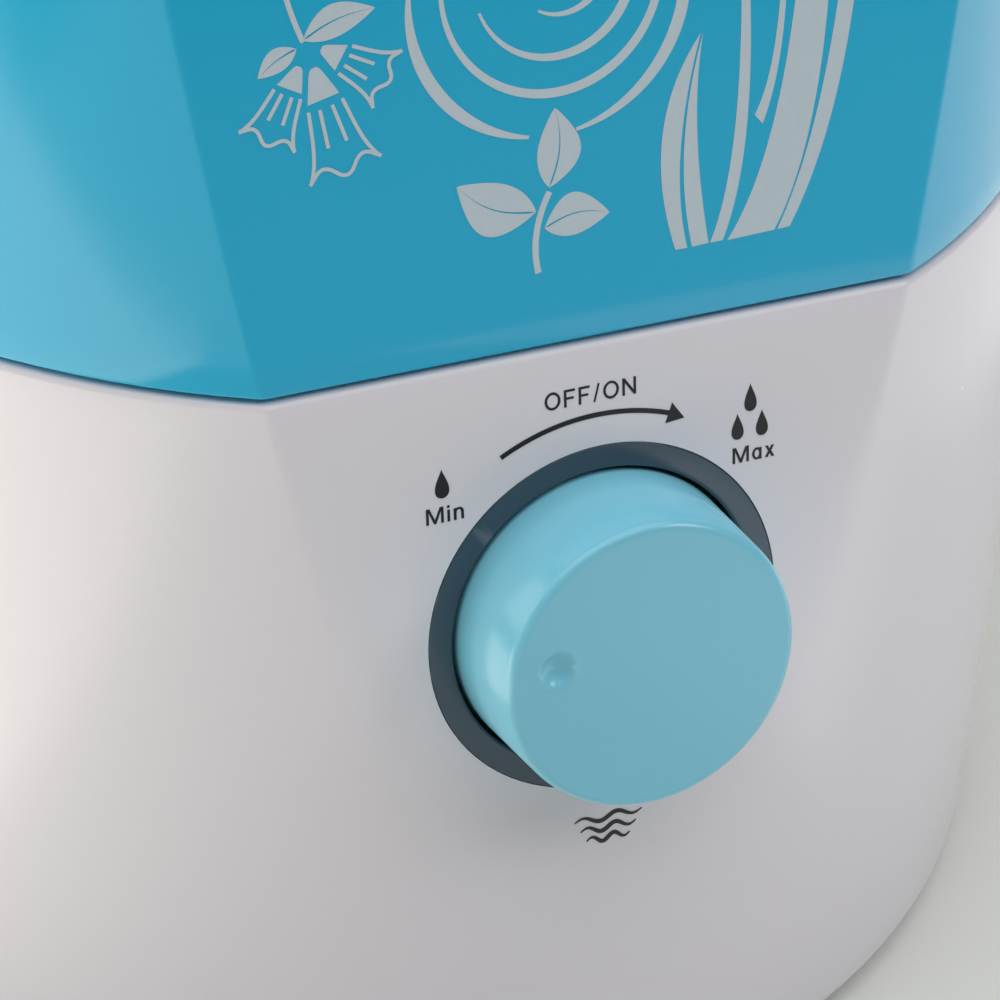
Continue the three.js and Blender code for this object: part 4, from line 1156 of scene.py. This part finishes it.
def smooth(path, steps=6):
    """Rounds a path by running a curve through the middles of its stretches."""
    made = [path[0]]
    for before, here, after in zip(path, path[1:], path[2:]):
        start = tuple((p + q) / 2 for p, q in zip(before, here))
        end = tuple((p + q) / 2 for p, q in zip(here, after))
        made += [bend(start, here, end, k / steps) for k in range(steps + 1)]
    return made + [path[-1]]


def ripple(centre, radius, start, end, width):
    return band(round_path(centre, radius, start, end, 72), swelling(width))


decoration = {
    "blade_a_left": [blade((9.8, 44.9), (11.3, 44.9), (5.2, 60.0), (8.9, 55.5), (13.2, 70.0))],
    "blade_a_right": [blade((11.9, 44.9), (14.0, 45.0), (9.4, 57.0), (11.6, 60.0), (13.5, 70.0))],
    "blade_b": [blade((14.2, 45.0), (15.8, 45.0), (20.0, 57.5), (22.0, 59.0), (17.6, 96.0))],
    "blade_c": [blade((16.4, 44.9), (22.4, 45.1), (30.0, 63.0), (35.0, 66.0), (26.0, 138.0))],
    "blade_d": [blade((22.8, 45.1), (24.4, 45.2), (32.8, 64.0), (36.4, 66.0), (33.2, 112.0))],
    "blade_e": [blade((19.9, 59.4), (20.9, 58.2), (24.0, 66.0), (25.2, 68.0), (23.6, 90.0))],
    "ripple_outer_left": [ripple((-5.0, 77.5), 16.4, -190, -100, 1.5)],
    "ripple_outer_right": [ripple((-5.0, 77.5), 16.4, -80, 40, 1.5)],
    "ripple_second": [ripple((-4.6, 79.0), 13.0, -205, 75, 1.1)],
    "ripple_third": [ripple((-4.4, 79.5), 9.4, -160, 150, 1.2)],
    "ripple_heart": [ripple((-3.6, 80.2), 5.4, -120, 190, 1.1)],
    "shoot_stem": [band([bend((-7.2, 45.2), (-8.2, 50.0), (-5.6, 54.6), k / 20) for k in range(21)], 0.75)],
    "shoot_leaf_left": leaf((-7.3, 52.5), 154, 10.4, 6.2, 1.2),
    "shoot_leaf_right": leaf((-6.3, 50.4), 4, 8.0, 5.0, 0.9),
    "shoot_leaf_top": leaf((-5.6, 55.1), 84, 9.2, 5.2, -0.9),
    "sprig_stem": [band([bend((-36.4, 96), (-36.6, 84), (-33.4, 76.2), k / 24) for k in range(25)], 0.6)],
    "sprig_bell_left": bellflower((-34.0, 73.6), -118, 8.8, 6.0),
    "sprig_bell_middle": bellflower((-32.4, 73.2), -76, 12.4, 7.4),
    "sprig_bell_right": bellflower((-31.4, 75.2), -32, 8.6, 6.0),
    "sprig_leaf": leaf((-33.4, 76.4), 16, 8.6, 3.6, 0.6),
    "sprig_bud": leaf((-34.2, 75.6), -150, 5.2, 2.6, -0.3),
}
for name, outlines in decoration.items():
    for number, outline in enumerate(outlines):
        title = "print_" + name + (f"_{number + 1}" if len(outlines) > 1 else "")
        lift = PRINT_LIFT + 0.006 * number
        lay_on_front(title, flat_curve([outline]), pale_ink, "tank", tank_surface, lift)
print("printed shapes:", len(decoration))

# %% [markdown]
# ## The deck under the tank
# Lifting the tank shows the deck: a white plate with a round water basin, the air tower, the pin that opens
# the tank's valve, the post that the float rides on, and the mist maker in the floor. Its plate follows the
# body's outline and its basin is round about another centre, so the rings are melted from one to the other.

# %% Stack the rings of the deck
deck_top = base_top - 1.9 * MM
deck_wall = 2.5 * MM
deck_under = deck_top - deck_wall
basin_floor = deck_top - 38.5 * MM
basin_under = basin_floor - deck_wall
basin_centre = (0, 8 * MM)
basin_radius = 62 * MM
basin_lip = 2 * MM
basin_corner = 5 * MM
disc_hole = 12.3 * MM
deck_edge = WALL + GAP * MM
edge_ring = base_ring(deck_top, deck_edge + 0.6 * MM)
lip_ring = circle_ring(basin_radius + basin_lip, deck_top, basin_centre)
rings = [
    base_ring(deck_under, deck_edge),
    base_ring(deck_top - 0.6 * MM, deck_edge),
    edge_ring,
]
rings += [melt(edge_ring, lip_ring, t, deck_top) for t in (0.25, 0.5, 0.75, 1)]
for s, c in arc(5)[1:]:
    radius, z = basin_radius + basin_lip * (1 - s), deck_top - basin_lip * (1 - c)
    rings.append(circle_ring(radius, z, basin_centre))
for s, c in arc(6):
    radius, z = basin_radius - basin_corner * (1 - c), basin_floor + basin_corner * (1 - s)
    rings.append(circle_ring(radius, z, basin_centre))
floor_edge = rings[-1]
rings += [melt(floor_edge, circle_ring(disc_hole, basin_floor), t, basin_floor) for t in (0.3, 0.6, 0.9, 1)]
rings += [
    circle_ring(disc_hole, basin_under),
    circle_ring(basin_radius + deck_wall, basin_under, basin_centre),
    circle_ring(basin_radius + deck_wall, deck_under, basin_centre),
]
deck = finish_piece("reservoir_deck_formed", *stack(rings), "reservoir_deck")

tower = (42, 6)
tower_outer, tower_bore = 14, 12
tower_top = base_top / MM - 5.4
under_mm = basin_under / MM
deck = combine(deck, *rod(tower_outer, under_mm, tower_top, 96, at(*tower)), "UNION")
deck = combine(deck, *rod(tower_bore, under_mm - 1, tower_top + 2, 96, at(*tower)), "DIFFERENCE")
print("deck faces:", len(deck.data.polygons))

# %% Add the pin, the float post and the screw bosses
cap_centre = box_middle(*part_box("tank_cap"))
float_centre = box_middle(*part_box("float"))
pin_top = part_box("valve_plunger")[0].z / MM - GAP
post_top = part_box("float_retainer")[1].z / MM - 2
pin = [(0, under_mm), (3.5, under_mm), (3.5, pin_top, 0.6), (0, pin_top)]
post = [(0, under_mm), (3.0, under_mm), (3.0, post_top, 0.4), (0, post_top)]
for profile, centre in ((pin, cap_centre), (post, float_centre)):
    deck = combine(deck, *turned(rounded(profile, 0.3), 48, at(*centre)), "UNION")
clamp_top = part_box("transducer_clamp")[1].z / MM
for share in (0.5, 7 / 6, 11 / 6):
    spot = on_circle(19.5, share * math.pi)
    deck = combine(deck, *rod(3, clamp_top + GAP, under_mm + 0.5, 32, at(*spot)), "UNION")
    deck = combine(deck, *rod(1.6, clamp_top, under_mm + 1, 24, at(*spot)), "DIFFERENCE")
print("deck faces with its posts:", len(deck.data.polygons))

# %% [markdown]
# ## Underside and small round pieces
# The bottom cover, the feet, the float, its clip, the cap and the tubes are turned again with more sides
# and rounded corners. A profile lists [radius, height] corners, and a third number asks for a larger round.


# %% Make the bottom cover
cover_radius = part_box("bottom_cover")[1].x / MM
cover_under, cover_top, sink_top = 2, 4.5, 3.3
foot_hole, screw_sink = 7.3, 3.4
cover_profile = [
    (0, cover_under),
    (cover_radius, cover_under, 0.6),
    (cover_radius, cover_top, 0.4),
    (0, cover_top),
]
cover = finish_piece("bottom_cover_formed", *turned(rounded(cover_profile, 0.3), 160), "bottom_cover")
foot_circle = math.hypot(*box_middle(*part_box("rubber_foot_1")))
screw_circle = math.hypot(*box_middle(*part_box("bottom_screw_1")))
for angle in corner_angles:
    foot_place = at(*on_circle(foot_circle, angle))
    screw_place = at(*on_circle(screw_circle, angle))
    cover = combine(cover, *rod(foot_hole, 1, sink_top, 48, foot_place), "DIFFERENCE")
    cover = combine(cover, *rod(screw_hole, 1, 6, 24, screw_place), "DIFFERENCE")
    cover = combine(cover, *rod(screw_sink, 1, sink_top, 32, screw_place), "DIFFERENCE")
print("cover faces:", len(cover.data.polygons))


# %% Cut the air slots and raise the posts
def slot_shape(x, y, length, width, low, high, steps=8):
    """A slot with round ends, as a closed prism."""
    half = length / 2 - width / 2
    edge = []
    for hand in (1, -1):
        for k in range(steps + 1):
            out, beside = on_circle(width / 2, math.pi * (k / steps - hand / 2))
            edge.append((x + hand * half + out, y + beside))
    return prism(edge, low, high)


def four_corners(x, y, half_length, half_width, top):
    """Where four posts stand about a middle, each with the height of its top."""
    return [(x + sx * half_length, y + sy * half_width, top) for sx in (-1, 1) for sy in (-1, 1)]


intake_radius = 25
slot_pitch = intake_radius / 3.85
slot_width = 3.4
for k in range(-3, 4):
    half = math.sqrt(intake_radius ** 2 - (k * slot_pitch) ** 2)
    slot = slot_shape(tower[0], tower[1] + k * slot_pitch, 2 * half, slot_width, 1, 6)
    cover = combine(cover, *slot, "DIFFERENCE")
power_posts = four_corners(-42, -24, 26, 17, 13.7)
driver_posts = four_corners(-40, 29, 22, 19, 13.7)
fan_posts = four_corners(*tower, 25, 25, 7.7)
for x, y, top in power_posts + driver_posts + fan_posts:
    post = [(1.6, 4.2), (3.2, 4.2), (3.2, top, 0.5), (1.6, top)]
    cover = combine(cover, *turned(rounded(post, 0.2), 24, at(x, y)), "UNION")
print("cover faces with slots and posts:", len(cover.data.polygons))


# %% Turn the small round pieces
def turned_piece(node, profile, centre=(0, 0), count=96, corner=0.3, place=None):
    shape = turned(rounded(profile, corner), count, place or at(*centre))
    return finish_piece(node + "_formed", *shape, node)


foot = [(0, 0.35), (4.2, 0.35), (4.8, 0), (7, 0, 0.9), (7, 3, 0.2), (0, 3)]
for k, angle in enumerate(corner_angles):
    turned_piece(f"rubber_foot_{k + 1}", foot, on_circle(foot_circle, angle), 64, 0.25)

float_low, float_high = (v.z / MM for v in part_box("float"))
magnet_pocket = float_low + 3.6
float_profile = [
    (3.6, magnet_pocket),
    (7.6, magnet_pocket),
    (7.6, float_low),
    (10, float_low, 1.2),
    (10, float_high, 1.4),
    (3.6, float_high, 0.5),
]
turned_piece("float", float_profile, float_centre, 72)
clip_profile = [
    (0, post_top + GAP),
    (3.3, post_top + GAP),
    (3.3, post_top - 2.6),
    (5.7, post_top - 2.6, 0.4),
    (5.7, post_top + 1, 0.8),
    (4.5, post_top + 2, 0.8),
    (0, post_top + 2),
]
turned_piece("float_retainer", clip_profile, float_centre, 64, 0.15)
print("float and clip turned")

# %% [markdown]
# ## Inside of the tank, its filler cap and the mist tube
# The tank's floor carries a foot ring and the filler neck. The cap is a ribbed cup that a hand can grip,
# with a cross of bars that guides the valve's stem. Ribs are small rounded blocks joined to the cup.

# %% Make the tank's floor
floor_low = tank_bottom / MM + 3.9
floor_high = floor_low + 2.5
plate_inset = TANK_WALL + GAP * MM
foot_ring_inner, foot_ring_outer = 74, 77
neck_bore, neck_outer = 17, 19


def plate_ring(z, extra=0.0):
    return outline_ring(tank_round, tank_softness, z * MM, plate_inset + extra * MM)


hole_low = circle_ring(tube_hole, floor_low * MM)
hole_high = circle_ring(tube_hole, floor_high * MM)
rings = [plate_ring(floor_low + 0.4), plate_ring(floor_high - 0.4), plate_ring(floor_high, 0.4)]
rings += [melt(rings[-1], hole_high, t, floor_high * MM) for t in (0.5, 1)]
low_edge = plate_ring(floor_low, 0.4)
rings += [melt(hole_low, low_edge, t, floor_low * MM) for t in (0, 0.5, 1)]
tank_floor = finish_piece("tank_floor_formed", *stack(rings), "tank_floor")
foot_ring_low = (deck_top + GAP * MM) / MM
neck_low = floor_low - 13
root = floor_low + 0.5
foot_ring = [
    (foot_ring_inner, foot_ring_low, 0.6),
    (foot_ring_outer, foot_ring_low, 0.6),
    (foot_ring_outer, root),
    (foot_ring_inner, root),
]
neck = [(neck_bore, neck_low, 0.4), (neck_outer, neck_low, 0.4), (neck_outer, root), (neck_bore, root)]
neck_drill = rod(neck_bore, floor_low - 1, floor_high + 1, 96, at(*cap_centre))
tank_floor = combine(tank_floor, *turned(rounded(foot_ring, 0.1), 160), "UNION")
tank_floor = combine(tank_floor, *turned(rounded(neck, 0.1), 96, at(*cap_centre)), "UNION")
tank_floor = combine(tank_floor, *neck_drill, "DIFFERENCE")
print("tank floor faces:", len(tank_floor.data.polygons))

# %% Make the mist tube, the cap and its valve parts
tube_low, tube_high = (v.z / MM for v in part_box("mist_tube"))
turned_piece("mist_tube", [(11.2, tube_low), (13, tube_low), (13, tube_high), (11.2, tube_high)])
cap_under, cap_top = (v.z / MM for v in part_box("tank_cap"))
cap_outer, cap_bore, cap_mouth = 22.1, 19.6, 6
cap_floor = cap_under + 2.5
guide_top = cap_under + 1.5
cup = [
    (cap_mouth, cap_under),
    (cap_outer, cap_under, 1.2),
    (cap_outer, cap_top, 0.5),
    (cap_bore, cap_top, 0.4),
    (cap_bore, cap_floor),
    (cap_mouth, cap_floor),
]
cap = turned_piece("tank_cap", cup, cap_centre, 96, 0.25)


def rounded_bar(x, y, length, width, low, high, angle, edge=0.25):
    """A bar with softened upright corners, as a closed prism."""
    half_l, half_w = length / 2, width / 2
    edge_points = []
    for cx, cy, start in ((1, 1, 0), (-1, 1, 90), (-1, -1, 180), (1, -1, 270)):
        for step in (0, 45, 90):
            out, beside = on_circle(edge, math.radians(start + step))
            edge_points.append((cx * (half_l - edge) + out, cy * (half_w - edge) + beside))
    points, faces = prism(edge_points, low, high)
    turn = Matrix.Rotation(angle, 4, "Z")
    return [at(x, y) @ (turn @ point) for point in points], faces


for k in range(12):
    angle = k * math.pi / 6
    out_x, out_y = on_circle(cap_outer, angle)
    rib_spot = (cap_centre[0] + out_x, cap_centre[1] + out_y)
    cap = combine(cap, *rounded_bar(*rib_spot, 1.2, 3, cap_under + 1, cap_top - 1.5, angle), "UNION")
for angle in (0, math.pi / 2):
    cap = combine(cap, *rounded_bar(*cap_centre, 13, 1.8, cap_under, guide_top, angle), "UNION")
cap = combine(cap, *rod(4, cap_under, guide_top, 48, at(*cap_centre)), "UNION")
cap = combine(cap, *rod(2.3, cap_under - 1, cap_under + 3, 48, at(*cap_centre)), "DIFFERENCE")
stem_low, stem_high = (v.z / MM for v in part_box("valve_plunger"))
seal_thickness = 1.5
head_low = cap_floor + GAP + seal_thickness + GAP
stem = [
    (0, stem_low),
    (2, stem_low, 0.6),
    (2, head_low),
    (7.5, head_low, 0.3),
    (7.5, head_low + 2, 0.5),
    (2, head_low + 2),
    (2, stem_high, 0.6),
    (0, stem_high),
]
turned_piece("valve_plunger", stem, cap_centre, 64, 0.15)
print("cap faces:", len(cap.data.polygons))

# %% [markdown]
# The valve's spring is wound wire. It is held at its upper end and its lower end rests on the valve's head,
# so it can't simply ride along: it has to get shorter as the valve is pushed. A helix of round wire is
# swept here.


# %% Wind the spring
def coil(centre, radius, wire, turns, low, high, around=10, along=28):
    """A helix of round wire, closed at both ends; all sizes in millimetres."""
    points, rows = [], []
    pitch = (high - low) / turns
    for k in range(turns * along + 1):
        angle = 2 * math.pi * k / along
        out = Vector((math.cos(angle), math.sin(angle), 0))
        run = Vector((-out.y * radius, out.x * radius, pitch / (2 * math.pi))).normalized()
        side = run.cross(out)
        here = Vector((*centre, low + pitch * k / along)) + out * radius
        rows.append(list(range(len(points), len(points) + around)))
        for j in range(around):
            turn = 2 * math.pi * j / around
            points.append((here + (out * math.cos(turn) + side * math.sin(turn)) * wire) * MM)
    return points, bands(rows, closed=False) + [rows[0][::-1], rows[-1]]


spring_low, spring_high = (v.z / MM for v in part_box("valve_spring"))
wire = 0.55
spring_shape = coil(cap_centre, 4.6, wire, 4, spring_low + wire, spring_high - wire)
spring = finish_piece("valve_spring_formed", *spring_shape, "valve_spring")
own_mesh(spring)

# %% [markdown]
# ## The nozzle
# On top a push-fit collar drops into the tank's dish and carries a round spout that turns all the way. The
# spout is a low dome with a wall of even thickness and a short mouth that leans forward, so the mist leaves
# at a slant.

# %% Turn the collar
collar_top = (tank_top + 2 * MM) / MM
dish_mm = dish_floor / MM
collar = [
    (8.8, dish_mm - 8),
    (10.6, dish_mm - 8, 0.5),
    (10.6, dish_mm + 2.3),
    (14, dish_mm + 2.3),
    (14, dish_mm + GAP),
    (33.4, dish_mm + GAP, 0.6),
    (33.4, collar_top, 1.6),
    (24.6, collar_top, 0.6),
    (24.6, collar_top - 3, 0.3),
    (8.8, collar_top - 3, 0.5),
]
turned_piece("nozzle_collar", collar, count=160, corner=0.2)
print("collar turned")

# %% Shape the spout and cut its mouth
spout_low = collar_top - 2.7
spout_height = 19
spout_radius, spout_wall = 24, 2
mouth_radius, mouth_reach, mouth_lean = 6.5, 24, math.radians(50)


def dome(radius, height, low, steps=28):
    straight = low + height * 0.35
    side = [(radius, low), (radius, straight)]
    cap_arc = [(radius * c, straight + (low + height - straight) * s) for s, c in arc(steps)][1:-1]
    return [(0, low)] + side + cap_arc + [(0, low + height)]


outer_dome = dome(spout_radius, spout_height, spout_low)
inner_dome = dome(spout_radius - spout_wall, spout_height - spout_wall, spout_low - 1)
spout = finish_piece("nozzle_spout_formed", *turned(outer_dome, 128), "nozzle_spout")
mouth_place = at(0, 0, spout_low + 8) @ Matrix.Rotation(mouth_lean, 4, "X")
mouth_outer = mouth_radius + spout_wall
mouth = [(0, 0), (mouth_outer, 0), (mouth_outer, mouth_reach, 0.7), (0, mouth_reach)]
spout = combine(spout, *turned(rounded(mouth, 0.7), 96, mouth_place), "UNION")
spout = combine(spout, *turned(inner_dome, 128), "DIFFERENCE")
spout = combine(spout, *rod(mouth_radius, 0, mouth_reach + 10, 96, mouth_place), "DIFFERENCE")
print("spout faces:", len(spout.data.polygons))

# %% [markdown]
# ## The cord gland at the back
# A plain round bush with a flange against the outside of the wall. Its bore is open; no cord is fitted.

# %% Turn the gland
flange = base_round(gland_height) / MM + GAP
gland = [
    (3.6, flange - 8.8),
    (6, flange - 8.8),
    (6, flange),
    (8.6, flange, 0.3),
    (8.6, flange + 2.5, 0.9),
    (7, flange + 6.5, 0.8),
    (5.4, flange + 8, 0.8),
    (3.6, flange + 8, 0.6),
]
gland_place = Matrix.Translation((0, 0, gland_height)) @ backwards
turned_piece("cord_gland", gland, count=72, corner=0.2, place=gland_place)
print("gland turned")

# %% [markdown]
# ## Floor
# The floor is a large sheet with a faint mottle.

# %% Lay the floor
floor_recipe = Recipe("floor_paint")
mottle = floor_recipe.noise(14, 4)
floor_tone = floor_recipe.blend(mottle, colour(234, 235, 229), colour(241, 242, 236))
floor_recipe.link(floor_tone, floor_recipe.shader.inputs["Base Color"])
floor_recipe.link(floor_recipe.spread(mottle, 0.5, 0.62), floor_recipe.shader.inputs["Roughness"])
floor_recipe.bump((floor_recipe.noise(600, 3), 0.02 * MM))
floor_mesh = bpy.data.meshes.new("floor")
reach = 6
floor_corners = [(-reach, -reach, 0), (reach, -reach, 0), (reach, reach, 0), (-reach, reach, 0)]
floor_mesh.from_pydata(floor_corners, [], [(0, 1, 2, 3)])
floor = bpy.data.objects.new("floor", floor_mesh)
bpy.context.scene.collection.objects.link(floor)
floor.location.z = -0.2 * MM
floor_mesh.materials.append(floor_recipe.material)
